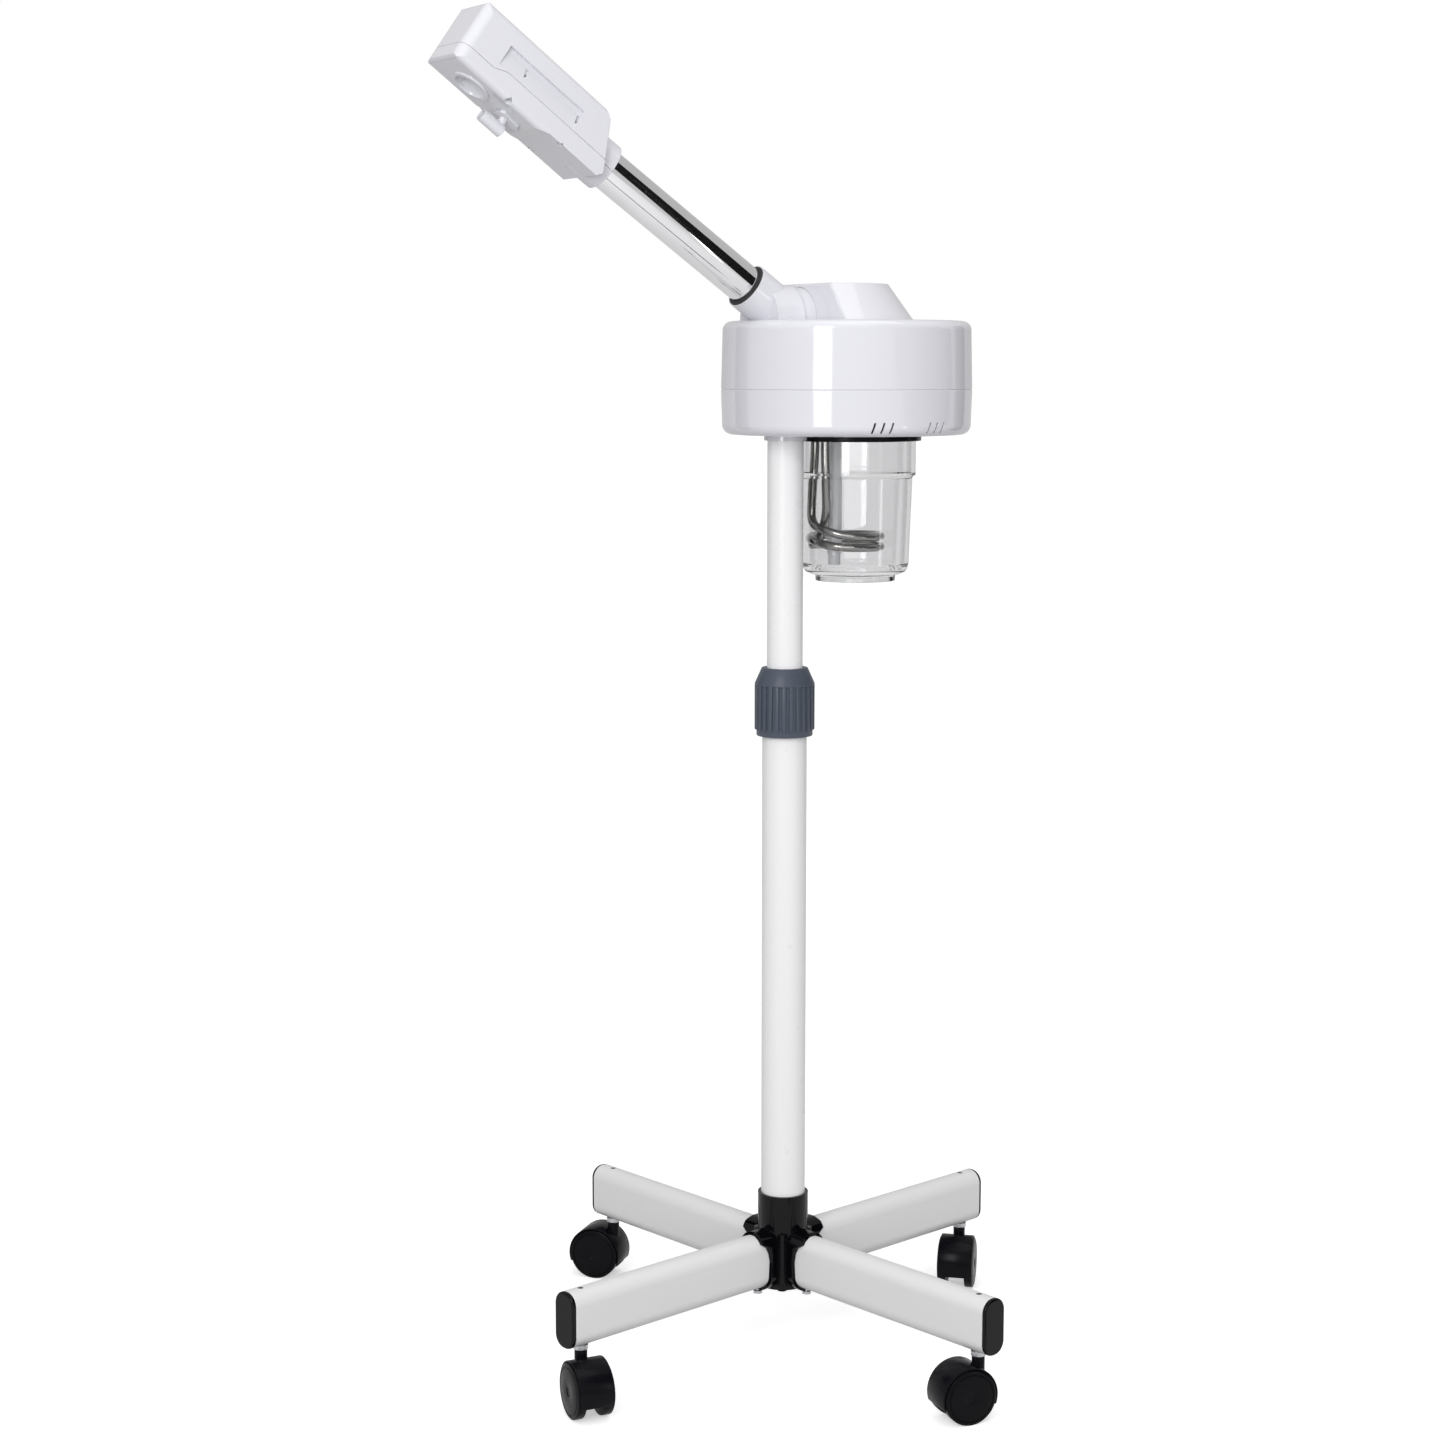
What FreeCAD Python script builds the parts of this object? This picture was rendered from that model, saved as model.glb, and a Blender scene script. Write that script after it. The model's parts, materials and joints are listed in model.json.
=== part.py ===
import FreeCAD, Part
import math
import os
import re
import Sketcher

# Facial steamer on a rolling stand.
# Frame: Z up, floor at Z = 0, column axis on Z, steam arm pointing to -X. Millimetres.

SIZES = [
    # casters
    ("wheel_radius", 24), ("wheel_inner", 9), ("wheel_outer", 17.4),
    ("axle_radius", 3), ("axle_half", 14.4), ("trail", 15),
    ("hood_radius", 26), ("hood_inner", 24.6), ("hood_half", 15.4), ("web_half", 8.6),
    ("hood_low", 15.4), ("neck_radius", 5.6), ("neck_top", 54.7),
    ("journal_radius", 3.6), ("stem_radius", 5), ("stem_top", 101), ("stem_flange", 6.5),
    # legs and hub
    ("leg_turn", 10.5), ("leg_half", 12.5), ("leg_low", 59), ("leg_high", 109),
    ("leg_round", 11.5), ("leg_wall", 1.8), ("leg_start", 24.5), ("leg_end", 256),
    ("cap_end", 259.5), ("stem_reach", 241), ("screw_reach", 31.5),
    ("hub_low", 56), ("cup_radius", 23), ("cup_top", 143), ("hub_floor", 73),
    ("sleeve_wall", 2.8), ("sleeve_side", 33), ("sleeve_tip", 40),
    # column
    ("mast_radius", 20), ("mast_wall", 1.5), ("mast_top", 589),
    ("pole_radius", 16), ("pole_wall", 1.5), ("pole_low", 289), ("pole_top", 889),
    ("running", 0.05), ("gap", 0.3),
    ("collar_low", 565), ("collar_ring", 577), ("collar_shoulder", 612), ("collar_top", 626),
    ("collar_radius", 26), ("rib_depth", 1.1), ("rib_width", 3.2), ("rib_count", 22),
    # housing
    ("drum_x", 65), ("drum_radius", 112), ("drum_low", 832), ("seam_height", 872),
    ("drum_top", 932), ("shell_wall", 2.6), ("top_round", 8), ("low_round", 9),
    ("crown_x", 41), ("crown_base", 79), ("crown_top_radius", 56), ("crown_top", 964),
    ("crown_cut", 13), ("crown_wall", 2.6), ("crown_edge", 3),
    ("block_radius", 31), ("block_front", 28), ("barrel_radius", 29), ("barrel_end", 47),
    ("boss_radius", 98), ("panel_x", 171), ("panel_half", 36), ("boss_size", 6),
    ("slot_width", 1.7), ("slot_height", 9.5), ("slot_lean", 17), ("slot_step", 4.2),
    # jar and boiler
    ("jar_x", 76), ("ring_radius", 58.5), ("ring_low", 826.3), ("jar_neck", 53.7),
    ("jar_rim", 830.5), ("jar_step", 795), ("jar_body", 50.8), ("jar_foot_radius", 48),
    ("jar_low", 707), ("jar_base", 701), ("foot_ring", 36.4), ("glass", 3),
    ("cap_radius", 54), ("cap_top", 839), ("skirt_radius", 49.6), ("skirt_wall", 3.4),
    ("coil_x", 68.1), ("coil_y", 4.9), ("coil_radius", 31.8), ("coil_tube", 3.8), ("coil_high", 741),
    ("tube_x", 58.5), ("tube_y", 8), ("tube_radius", 6.5),
    ("outlet_x", 84), ("lead_x", 37.5), ("lead_y", 8), ("nut_radius", 6.6),
    # arm
    ("arm_tilt", 34.1), ("arm_height", 933.3), ("arm_radius", 17), ("arm_wall", 1.5),
    ("arm_start", 14), ("arm_exit", 220.7), ("arm_end", 250), ("socket_radius", 21),
    ("socket_end", 50),
    # head, measured along and across its own axis from where the tube leaves it
    ("head_tilt", 36.1), ("head_front", 168.6), ("head_half", 28.5), ("head_top", 31.2),
    ("head_low", 24.6), ("head_wall", 2.6), ("head_side", 4.8), ("head_seam", 5.8),
    ("seam_drop", 5), ("nozzle_place", 134.6), ("nozzle_radius", 17.5), ("plate_place", 92.5),
    ("spout_low", 36.8), ("spout_start", 92), ("spout_end", 114), ("spout_radius", 5.5),
]

Vec = FreeCAD.Vector
UP = Vec(0, 0, 1)
FORWARD = Vec(0, -1, 0)
BACKWARD = Vec(0, 1, 0)
SIDEWAYS = Vec(-1, 0, 0)
CASTER_YAW = {1: 46, 2: 309, 3: 82, 4: 351}
QUARTERS = (1, 2, 3, 4)
# The coil's way round: angle about its centre, and height over the coil's own level.
COIL_TURNS = (
    (180, 10), (200, 6.6), (220, 3.6), (240, 1.6), (265, 0.4), (295, 0), (328, 0), (370, -0.3),
    (418, -0.8), (460, -1), (490, -1.3), (510, -1.9), (530, -3.2), (555, -6), (580, -8), (610, -9),
    (650, -9.4), (688, -9.5), (740, -9.6), (778, -9.6), (815, -9.6), (838, -9.4),
)
# The way back up inside the ring, from the far lead.
COIL_RISE = ((9, 34.5, -8.8), (8.7, 26, -6.6), (7.1, 16, 3), (5, 6, 19), (2.5, 1.5, 34))
# A bezel's flange, case and well: depths from the panel's face, half width, half height.
BEZEL_STEPS = (
    ("flange", "", " + 1.6", 8, 11.5),
    ("case", " - 8.5", " + 0.5", 6.5, 9.5),
    ("well", " - 7", " + 3", 5, 8),
)
FOOT_SCREWS = (("-27", "-20"), ("-27", "20"), ("5", "-23"), ("5", "23"))

doc = FreeCAD.newDocument("FacialSteamer")
sheet = doc.addObject("Spreadsheet::Sheet", "Sizes")
for row, (alias, number) in enumerate(SIZES, 1):
    sheet.set("A%d" % row, alias)
    sheet.set("B%d" % row, str(number))
    sheet.setAlias("B%d" % row, alias)
doc.recompute()
WORDS = sorted((alias for alias, number in SIZES), key=len, reverse=True)
ALIAS = re.compile(r"\b(" + "|".join(WORDS) + r")\b")
NODES = []


def linked(text):
    """Write an expression with every size read from the sheet."""
    return ALIAS.sub(r"Sizes.\1", str(text))


def size(text):
    """Work out an expression from the sheet's present values."""
    return float(sheet.evalExpression(str(text)))


def bind(thing, links):
    """Tie properties to expressions of the sheet."""
    for name, text in links.items():
        thing.setExpression(name, linked(text))
    return thing


def place(thing, x="0", y="0", z="0", turn="0", axis=UP):
    """Stand a piece at a place and turned by an angle, both tied to the sheet."""
    spot = Vec(size(x), size(y), size(z))
    thing.Placement = FreeCAD.Placement(spot, FreeCAD.Rotation(axis, 0))
    bind(thing, {
        "Placement.Base.x": x,
        "Placement.Base.y": y,
        "Placement.Base.z": z,
        "Placement.Rotation.Angle": turn,
    })
    return thing


def node(thing):
    """Name a finished piece as one of the steamer's sub-parts."""
    thing.Label = thing.Name
    NODES.append(thing)
    return thing


def body(label):
    """Start an empty body."""
    return doc.addObject("PartDesign::Body", label)


def draw(owner, role, offset="0"):
    """Start a sketch on one of a body's own planes."""
    made = owner.newObject("Sketcher::SketchObject", owner.Name + "_sketch")
    plane = [item for item in owner.Origin.OriginFeatures if item.Role == role][0]
    made.AttachmentSupport = (plane, [""])
    made.MapMode = "FlatFace"
    bind(made, {"AttachmentOffset.Base.z": offset})
    return made


def dimension(drawn, kind, items, text):
    """Add one dimension that follows the sheet."""
    index = drawn.addConstraint(Sketcher.Constraint(kind, *items, size(text)))
    bind(drawn, {"Constraints[%d]" % index: text})


def polygon(drawn, points):
    """Draw a closed outline whose corners follow the sheet."""
    first = drawn.GeometryCount
    spots = [Vec(size(x), size(y), 0) for x, y in points]
    count = len(points)
    for i, spot in enumerate(spots):
        drawn.addGeometry(Part.LineSegment(spot, spots[(i + 1) % count]), False)
    for i in range(count):
        follow = first + (i + 1) % count
        drawn.addConstraint(Sketcher.Constraint("Coincident", first + i, 2, follow, 1))
    for i, (x, y) in enumerate(points):
        dimension(drawn, "DistanceX", (-1, 1, first + i, 1), x)
        dimension(drawn, "DistanceY", (-1, 1, first + i, 1), y)
    return drawn


def pad(owner, drawn, length, centred=False):
    """Raise a sketch to a solid."""
    made = owner.newObject("PartDesign::Pad", owner.Name + "_pad")
    made.Profile = drawn
    if centred:
        made.SideType = "Symmetric"
    bind(made, {"Length": length})
    owner.Tip = made
    return made


def prism(label, role, points, length, offset="0", centred=False):
    """Make a body by raising one outline."""
    made = body(label)
    pad(made, polygon(draw(made, role, offset), points), length, centred)
    return made


def lathe(label, outline):
    """Make a body by turning one outline of (radius, height) corners about Z."""
    made = body(label)
    drawn = polygon(draw(made, "XZ_Plane"), outline)
    turned = made.newObject("PartDesign::Revolution", label + "_turned")
    turned.Profile = drawn
    turned.ReferenceAxis = (drawn, ["V_Axis"])
    turned.Angle = 360
    made.Tip = turned
    return made


def tube(label, inner, outer, low, high):
    """Make a plain round tube about Z."""
    return lathe(label, [(inner, low), (outer, low), (outer, high), (inner, high)])


def soften(owner, wanted, radius):
    """Round the edges of a body's last feature that pass a test."""
    doc.recompute()
    base = owner.Tip
    edges = ["Edge%d" % i for i, edge in enumerate(base.Shape.Edges, 1) if wanted(edge)]
    made = owner.newObject("PartDesign::Fillet", owner.Name + "_soft")
    made.Base = (base, edges)
    bind(made, {"Radius": radius})
    owner.Tip = made
    return owner


def ring_at(height, radius):
    """Test for the round edge at one height and of at least one radius."""
    def wanted(edge):
        box = edge.BoundBox
        level = abs(box.ZMin - size(height)) < 0.01 and box.ZLength < 0.01
        return level and isinstance(edge.Curve, Part.Circle) and edge.Curve.Radius > size(radius)
    return wanted


def running_along(axis, low=None, high=None, across=0):
    """Test for straight edges along an axis, within limits on another axis."""
    def wanted(edge):
        if not isinstance(edge.Curve, Part.Line):
            return False
        start, end = edge.Vertexes[0].Point, edge.Vertexes[-1].Point
        step = end.sub(start).normalize()
        middle = (start[across] + end[across]) / 2
        inside = (low is None or middle >= low) and (high is None or middle <= high)
        return abs(step[axis]) > 0.999 and inside
    return wanted


def rod(label, radius, length):
    """Make a plain round rod."""
    made = doc.addObject("Part::Cylinder", label)
    return bind(made, {"Radius": radius, "Height": length})


def block(label, length, width, height):
    """Make a plain block."""
    made = doc.addObject("Part::Box", label)
    return bind(made, {"Length": length, "Width": width, "Height": height})


def upright(label, radius, low, high, x="0", y="0"):
    """Make a vertical rod between two heights."""
    made = rod(label, radius, "(%s) - (%s)" % (high, low))
    return place(made, x, y, low)


def box_at(label, x_low, x_high, y_low, y_high, z_low, z_high):
    """Make a block between limits on the three axes."""
    made = block(
        label,
        "(%s) - (%s)" % (x_high, x_low),
        "(%s) - (%s)" % (y_high, y_low),
        "(%s) - (%s)" % (z_high, z_low),
    )
    return place(made, x_low, y_low, z_low)


def fuse(label, pieces):
    """Join pieces to one solid."""
    made = doc.addObject("Part::MultiFuse", label)
    made.Shapes = pieces
    made.Refine = True
    return made


def cut(label, base, tools):
    """Take tools away from a base."""
    made = doc.addObject("Part::Cut", label)
    made.Base = base
    made.Tool = tools[0] if len(tools) == 1 else fuse(label + "_tools", tools)
    made.Refine = True
    return made


def overlap(label, pieces):
    """Keep only what all the pieces share."""
    made = doc.addObject("Part::MultiCommon", label)
    made.Shapes = pieces
    return made


def group(label, pieces):
    """Keep like pieces together as one node of several solids."""
    made = doc.addObject("Part::Compound", label)
    made.Links = pieces
    return node(made)


def lying(thing, x, y, z):
    """Lay a piece made along Z so that it runs along +Y."""
    return place(thing, x, y, z, "90", SIDEWAYS)


# ---------------------------------------------------------------- casters

def leg_angle(k):
    """Direction of one leg."""
    return "leg_turn + %d" % (90 * (k - 1))


def at_caster(thing, k, x="0", y="0", z="0"):
    """Stand a piece drawn about a caster's own stem at one leg's end."""
    yaw = CASTER_YAW[k]
    across = "stem_reach*cos(%s) + (%s)*cos(%s) - (%s)*sin(%s)" % (leg_angle(k), x, yaw, y, yaw)
    along = "stem_reach*sin(%s) + (%s)*sin(%s) + (%s)*cos(%s)" % (leg_angle(k), x, yaw, y, yaw)
    return place(thing, across, along, z, str(yaw))


def side_disc(label, radius, low, high, x="-trail", z="wheel_radius"):
    """Make a disc standing on edge, with its axis along Y."""
    return lying(rod(label, radius, "(%s) - (%s)" % (high, low)), x, low, z)


def caster_hood(k):
    """Hood with the web between the wheels and the neck round the stem."""
    name = "caster_hood_%d" % k
    drum = side_disc(name + "_drum", "hood_radius", "-hood_half", "hood_half")
    neck = upright(name + "_neck", "neck_radius", "wheel_radius", "neck_top")
    solid = fuse(name + "_solid", [drum, neck])
    cuts = [
        side_disc(name + "_bay_a", "hood_inner", "web_half", "hood_half + 2"),
        side_disc(name + "_bay_b", "hood_inner", "-hood_half - 2", "-web_half"),
        box_at(name + "_low", "-60", "30", "-30", "30", "-10", "hood_low"),
        upright(name + "_bore", "journal_radius + running", "32", "neck_top + 2"),
        side_disc(name + "_axle_bore", "axle_radius + running", "-30", "30"),
    ]
    return node(at_caster(cut(name, solid, cuts), k))


def wheel_body(label):
    """One wheel turned about Z, inner face down."""
    return lathe(label, [
        ("axle_radius + running", "0"),
        ("wheel_radius - 1", "0"),
        ("wheel_radius", "1"),
        ("wheel_radius", "wheel_outer - wheel_inner - 1.6"),
        ("wheel_radius - 1.6", "wheel_outer - wheel_inner"),
        ("wheel_radius - 3", "wheel_outer - wheel_inner"),
        ("wheel_radius - 3.4", "wheel_outer - wheel_inner - 0.5"),
        ("wheel_radius - 3.8", "wheel_outer - wheel_inner"),
        ("0", "wheel_outer - wheel_inner"),
        ("0", "axle_half - wheel_inner + 0.4"),
        ("axle_radius + running", "axle_half - wheel_inner + 0.4"),
    ])


def in_caster_group(label, piece, k):
    """Carry a piece laid out in a caster's own frame to its leg."""
    made = doc.addObject("Part::Compound", label)
    made.Links = [piece]
    return node(at_caster(made, k))


def caster(k):
    """One twin-wheel caster."""
    caster_hood(k)
    axle = rod("axle_%d_rod" % k, "axle_radius", "2*axle_half")
    in_caster_group("caster_axle_%d" % k, lying(axle, "-trail", "-axle_half", "wheel_radius"), k)
    wheel_a = wheel_body("wheel_%da_body" % k)
    lying(wheel_a, "-trail", "wheel_inner", "wheel_radius")
    in_caster_group("caster_wheel_%da" % k, wheel_a, k)
    wheel_b = wheel_body("wheel_%db_body" % k)
    place(wheel_b, "-trail", "-wheel_inner", "wheel_radius", "90", Vec(1, 0, 0))
    in_caster_group("caster_wheel_%db" % k, wheel_b, k)


def stems_and_nuts():
    """Steel stems under the legs, and the nuts that hold them inside the tubes."""
    stems, nuts = [], []
    for k in QUARTERS:
        x = "stem_reach*cos(%s)" % leg_angle(k)
        y = "stem_reach*sin(%s)" % leg_angle(k)
        stem = lathe("stem_%d" % k, [
            ("0", "34"), ("journal_radius", "34"), ("journal_radius", "neck_top + gap"),
            ("stem_flange", "neck_top + gap"), ("stem_flange", "leg_low"),
            ("stem_radius", "leg_low"), ("stem_radius", "stem_top"), ("0", "stem_top"),
        ])
        stems.append(place(stem, x, y))
        nut = tube("stem_nut_%d" % k, "stem_radius + 0.1", "7.2", "leg_low + 3.9", "leg_low + 9")
        nuts.append(place(nut, x, y))
    group("caster_stems", stems)
    group("stem_nuts", nuts)


# ---------------------------------------------------------------- legs and hub

def oval_bar(label, grow, start, end):
    """Flat-oval bar along X, the leg's section grown or shrunk by a distance."""
    half = "leg_half + (%s)" % grow
    low = "leg_low - (%s)" % grow
    high = "leg_high + (%s)" % grow
    minus = "-(%s)" % half
    corners = [(minus, low), (half, low), (half, high), (minus, high)]
    made = prism(label, "YZ_Plane", corners, "(%s) - (%s)" % (end, start), start)
    return soften(made, running_along(0), "leg_round + (%s)" % grow)


def leg(k):
    """One leg tube with its stem and screw holes."""
    name = "leg_%d" % k
    outer = oval_bar(name + "_outer", "0", "leg_start", "leg_end")
    tools = [
        oval_bar(name + "_inner", "-leg_wall", "leg_start - 1", "leg_end + 1"),
        upright(name + "_stem_hole", "stem_radius + gap", "leg_low - 5", "leg_low + 8", "stem_reach"),
        upright(name + "_top_hole", "2.6", "leg_high - 6", "leg_high + 3", "stem_reach"),
        upright(name + "_screw_hole", "2.3", "leg_low - 5", "leg_low + 8", "screw_reach"),
    ]
    return node(place(cut(name, outer, tools), turn=leg_angle(k)))


def leg_caps():
    """Push-in end caps of the four legs."""
    caps = []
    for k in QUARTERS:
        name = "leg_cap_%d" % k
        plate = oval_bar(name + "_plate", "0", "leg_end", "cap_end")
        reach = size("cap_end")
        soften(plate, lambda edge: edge.BoundBox.XMin > reach - 0.01, "2")
        plug = oval_bar(name + "_plug", "-leg_wall - gap", "leg_end - 6", "leg_end + 1")
        caps.append(place(fuse(name, [plate, plug]), turn=leg_angle(k)))
    group("leg_caps", caps)


def leg_screws():
    """Screws from below the hub into each leg."""
    made = []
    for k in QUARTERS:
        screw = lathe("leg_screw_%d" % k, [
            ("0", "hub_low - 2.5"), ("4", "hub_low - 2.5"), ("4", "hub_low"),
            ("2", "hub_low"), ("2", "leg_low + 6"), ("0", "leg_low + 6"),
        ])
        x = "screw_reach*cos(%s)" % leg_angle(k)
        y = "screw_reach*sin(%s)" % leg_angle(k)
        made.append(place(screw, x, y))
    group("leg_screws", made)


def base_hub():
    """Hub with its cup round the mast and a sleeve over each leg's inner end."""
    sleeves, pockets = [], []
    for k in QUARTERS:
        sleeve = oval_bar("hub_sleeve_%d" % k, "sleeve_wall", "0", "sleeve_tip + 4")
        sleeves.append(place(sleeve, turn=leg_angle(k)))
        pocket = oval_bar("hub_pocket_%d" % k, "0.2", "leg_start", "sleeve_tip + 8")
        pockets.append(place(pocket, turn=leg_angle(k)))
        x = "screw_reach*cos(%s)" % leg_angle(k)
        y = "screw_reach*sin(%s)" % leg_angle(k)
        pockets.append(upright("hub_screw_hole_%d" % k, "2.3", "hub_low - 5", "leg_low + 3", x, y))
    flutes = []
    for k in QUARTERS:
        turn = "(%s + 45)" % leg_angle(k)
        x = "(cup_radius - 1)*cos%s" % turn
        y = "(cup_radius - 1)*sin%s" % turn
        flutes.append(upright("hub_flute_%d" % k, "4.4", "hub_low", "leg_high", x, y))
    envelope = lathe("hub_envelope", [
        ("0", "hub_low"), ("sleeve_side - 2", "hub_low"), ("sleeve_side", "hub_low + 2"),
        ("sleeve_side - 1.5", "leg_high - 24"), ("sleeve_side", "leg_high - 16"),
        ("sleeve_side + 3", "leg_high - 10"), ("sleeve_tip + 1", "leg_high - 6"),
        ("sleeve_tip", "leg_high - 1"), ("sleeve_side", "leg_high + 7"),
        ("cup_radius + 1", "leg_high + 13"), ("0", "leg_high + 13"),
    ])
    star = overlap("hub_star", [fuse("hub_sleeves", sleeves), envelope])
    cup = upright("hub_cup", "cup_radius", "hub_low", "cup_top")
    solid = fuse("hub_solid", [star, cup] + flutes)
    tools = pockets + [
        upright("hub_bore", "mast_radius + 0.1", "hub_floor", "cup_top + 5"),
        upright("hub_bolt_hole", "5.3", "hub_low - 5", "hub_floor + 2"),
        upright("hub_bolt_recess", "10", "hub_low - 5", "hub_low + 6"),
    ]
    return node(cut("base_hub", solid, tools))


# ---------------------------------------------------------------- column

def column():
    """Mast, telescoping pole, clamp collar and their plugs."""
    bore = "mast_radius - mast_wall"
    node(tube("lower_mast", bore, "mast_radius", "hub_floor", "mast_top"))
    bolt = lathe("mast_bolt_screw", [
        ("0", "hub_low - 2"), ("8.5", "hub_low - 2"), ("8.5", "hub_low + 6"),
        ("5", "hub_low + 6"), ("5", "hub_floor + 28"), ("0", "hub_floor + 28"),
    ])
    plate = tube("mast_nut_plate", "5.1", bore + " - 0.2", "hub_floor + 14", "hub_floor + 20")
    group("mast_bolt", [bolt, plate])
    slip = "pole_radius + running"
    node(lathe("mast_bush", [
        (slip, "mast_top - 40"), (bore + " - 0.2", "mast_top - 40"), (bore + " - 0.2", "mast_top"),
        ("mast_radius", "mast_top"), ("mast_radius", "mast_top + 3"),
        ("mast_radius - 1.6", "mast_top + 3"), ("mast_radius - 1.6", "mast_top + 26"),
        (slip, "mast_top + 30"),
    ]))
    clamp_collar()
    inner = "pole_radius - pole_wall"
    node(tube("upper_pole", inner, "pole_radius", "pole_low", "pole_top"))
    node(lathe("upper_pole_foot", [
        ("0", "pole_low - 8"), (bore + " - gap", "pole_low - 8"), (bore + " - gap", "pole_low"),
        (inner + " - 0.1", "pole_low"), (inner + " - 0.1", "pole_low + 20"), ("0", "pole_low + 20"),
    ]))
    node(lathe("upper_pole_plug", [
        ("0", "pole_top - 12"), (inner + " - 0.1", "pole_top - 12"), (inner + " - 0.1", "pole_top"),
        ("pole_radius", "pole_top"), ("pole_radius", "pole_top + 5"), ("0", "pole_top + 5"),
    ]))


def clamp_collar():
    """Ribbed collar that clamps the pole in the mast."""
    made = lathe("clamp_collar", [
        ("mast_radius + gap", "collar_low"), ("collar_radius - 2.4", "collar_low"),
        ("collar_radius - 2", "collar_low + 0.5"), ("collar_radius - 2", "collar_ring"),
        ("collar_radius", "collar_ring + 1"), ("collar_radius", "collar_shoulder - 1"),
        ("collar_radius + 1", "collar_shoulder"), ("collar_radius + 1", "collar_shoulder + 2"),
        ("pole_radius + 3.6", "collar_top"), ("pole_radius + 0.4", "collar_top"),
        ("pole_radius + 0.4", "mast_top + 31"), ("mast_radius - 1.2", "mast_top + 27"),
        ("mast_radius - 1.2", "mast_top + 3"), ("mast_radius + gap", "mast_top + 3"),
    ])
    drawn = draw(made, "XY_Plane", "collar_ring + 1.5")
    inner = "collar_radius - rib_depth"
    outer = "collar_radius + 3"
    polygon(drawn, [
        (inner, "-rib_width/2"), (outer, "-rib_width/2"), (outer, "rib_width/2"), (inner, "rib_width/2"),
    ])
    groove = made.newObject("PartDesign::Pocket", "clamp_collar_groove")
    groove.Profile = drawn
    groove.Reversed = True
    bind(groove, {"Length": "collar_shoulder - collar_ring - 4"})
    ribs = made.newObject("PartDesign::PolarPattern", "clamp_collar_ribs")
    ribs.Originals = [groove]
    axes = [item for item in made.Origin.OriginFeatures if item.Role == "Z_Axis"]
    ribs.Axis = (axes[0], [""])
    ribs.Angle = 360
    bind(ribs, {"Occurrences": "rib_count"})
    made.Tip = ribs
    return node(made)


# ---------------------------------------------------------------- housing

def boss_places():
    """Places of the four screws that join the two shells."""
    for angle in (45, 135, 225, 315):
        yield angle, "drum_x + boss_radius*cos(%d)" % angle, "boss_radius*sin(%d)" % angle


def slots():
    """Slanted vent slots in the lower shell, three in each of four groups."""
    made = []
    for angle in (81, 109, 251, 279):
        for step in (-1, 0, 1):
            name = "vent_%d_%d" % (angle, step + 2)
            slot = block(name, "16", "slot_width", "slot_height")
            place(slot, "-8", "-slot_width/2", "0", "slot_lean", SIDEWAYS)
            holder = doc.addObject("Part::Compound", name + "_turned")
            holder.Links = [slot]
            turn = "%d + %d*slot_step" % (angle, step)
            x = "drum_x + (drum_radius - 1)*cos(%s)" % turn
            y = "(drum_radius - 1)*sin(%s)" % turn
            made.append(place(holder, x, y, "drum_low + 3.2", turn))
    return made


def lower_shell():
    """Lower half of the housing, with the pole flange, bosses, ribs and rear panel."""
    outer = lathe("lower_outer", [
        ("0", "drum_low"), ("drum_radius - 1", "drum_low"), ("drum_radius", "seam_height - 0.6"),
        ("drum_radius - 0.5", "seam_height"), ("0", "seam_height"),
    ])
    place(soften(outer, ring_at("drum_low", "50"), "low_round"), "drum_x")
    inner = lathe("lower_inner", [
        ("0", "drum_low + shell_wall"), ("drum_radius - 1 - shell_wall", "drum_low + shell_wall"),
        ("drum_radius - shell_wall", "seam_height + 1"), ("0", "seam_height + 1"),
    ])
    place(soften(inner, ring_at("drum_low + shell_wall", "50"), "low_round - shell_wall"), "drum_x")
    pan = cut("lower_pan", outer, [inner])
    floor = "drum_low + shell_wall"
    extras = [upright("pole_flange", "pole_radius + 3", "drum_low - 4.5", "drum_low + 1")]
    side = "panel_half + 2"
    extras.append(box_at(
        "panel_back", "panel_x - 3", "panel_x + 1.5", "-(%s)" % side, side, floor, "seam_height - 0.5",
    ))
    for name, x in (("rib_a", "40"), ("rib_b", "96")):
        extras.append(box_at(name, x, x + " + 4", "62", "92", floor, "drum_low + 9"))
    tools = [
        upright("pole_hole", "pole_radius + gap", "drum_low - 10", "drum_low + 10"),
        upright("ring_room", "ring_radius + gap", "drum_low - 10", "drum_low", "jar_x"),
        upright("boiler_hole", "skirt_radius + 0.4", "drum_low - 10", "drum_low + 10", "jar_x"),
        box_at(
            "panel_face", "panel_x", "panel_x + 20", "-panel_half", "panel_half",
            "drum_low + 7", "seam_height - 4",
        ),
        place(rod("gland_hole", "6.2", "20"), "panel_x - 9", "0", "drum_low + 20", "90", BACKWARD),
    ]
    for name, middle in (("steam", "-25"), ("ozone", "25")):
        tools.append(box_at(
            name + "_switch_hole", "panel_x - 9", "panel_x + 5", middle + " - 6.7", middle + " + 6.7",
            "drum_low + 10.8", "drum_low + 30.2",
        ))
    for angle, x, y in boss_places():
        extras.append(upright("low_boss_%d" % angle, "boss_size", floor, "seam_height", x, y))
        tools.append(upright("low_recess_%d" % angle, "4", "drum_low - 2", "drum_low + 9", x, y))
        tools.append(upright("low_drill_%d" % angle, "1.9", "drum_low - 2", "seam_height + 2", x, y))
    solid = fuse("lower_solid", [pan] + extras)
    return node(cut("lower_shell", solid, tools + slots()))


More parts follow.
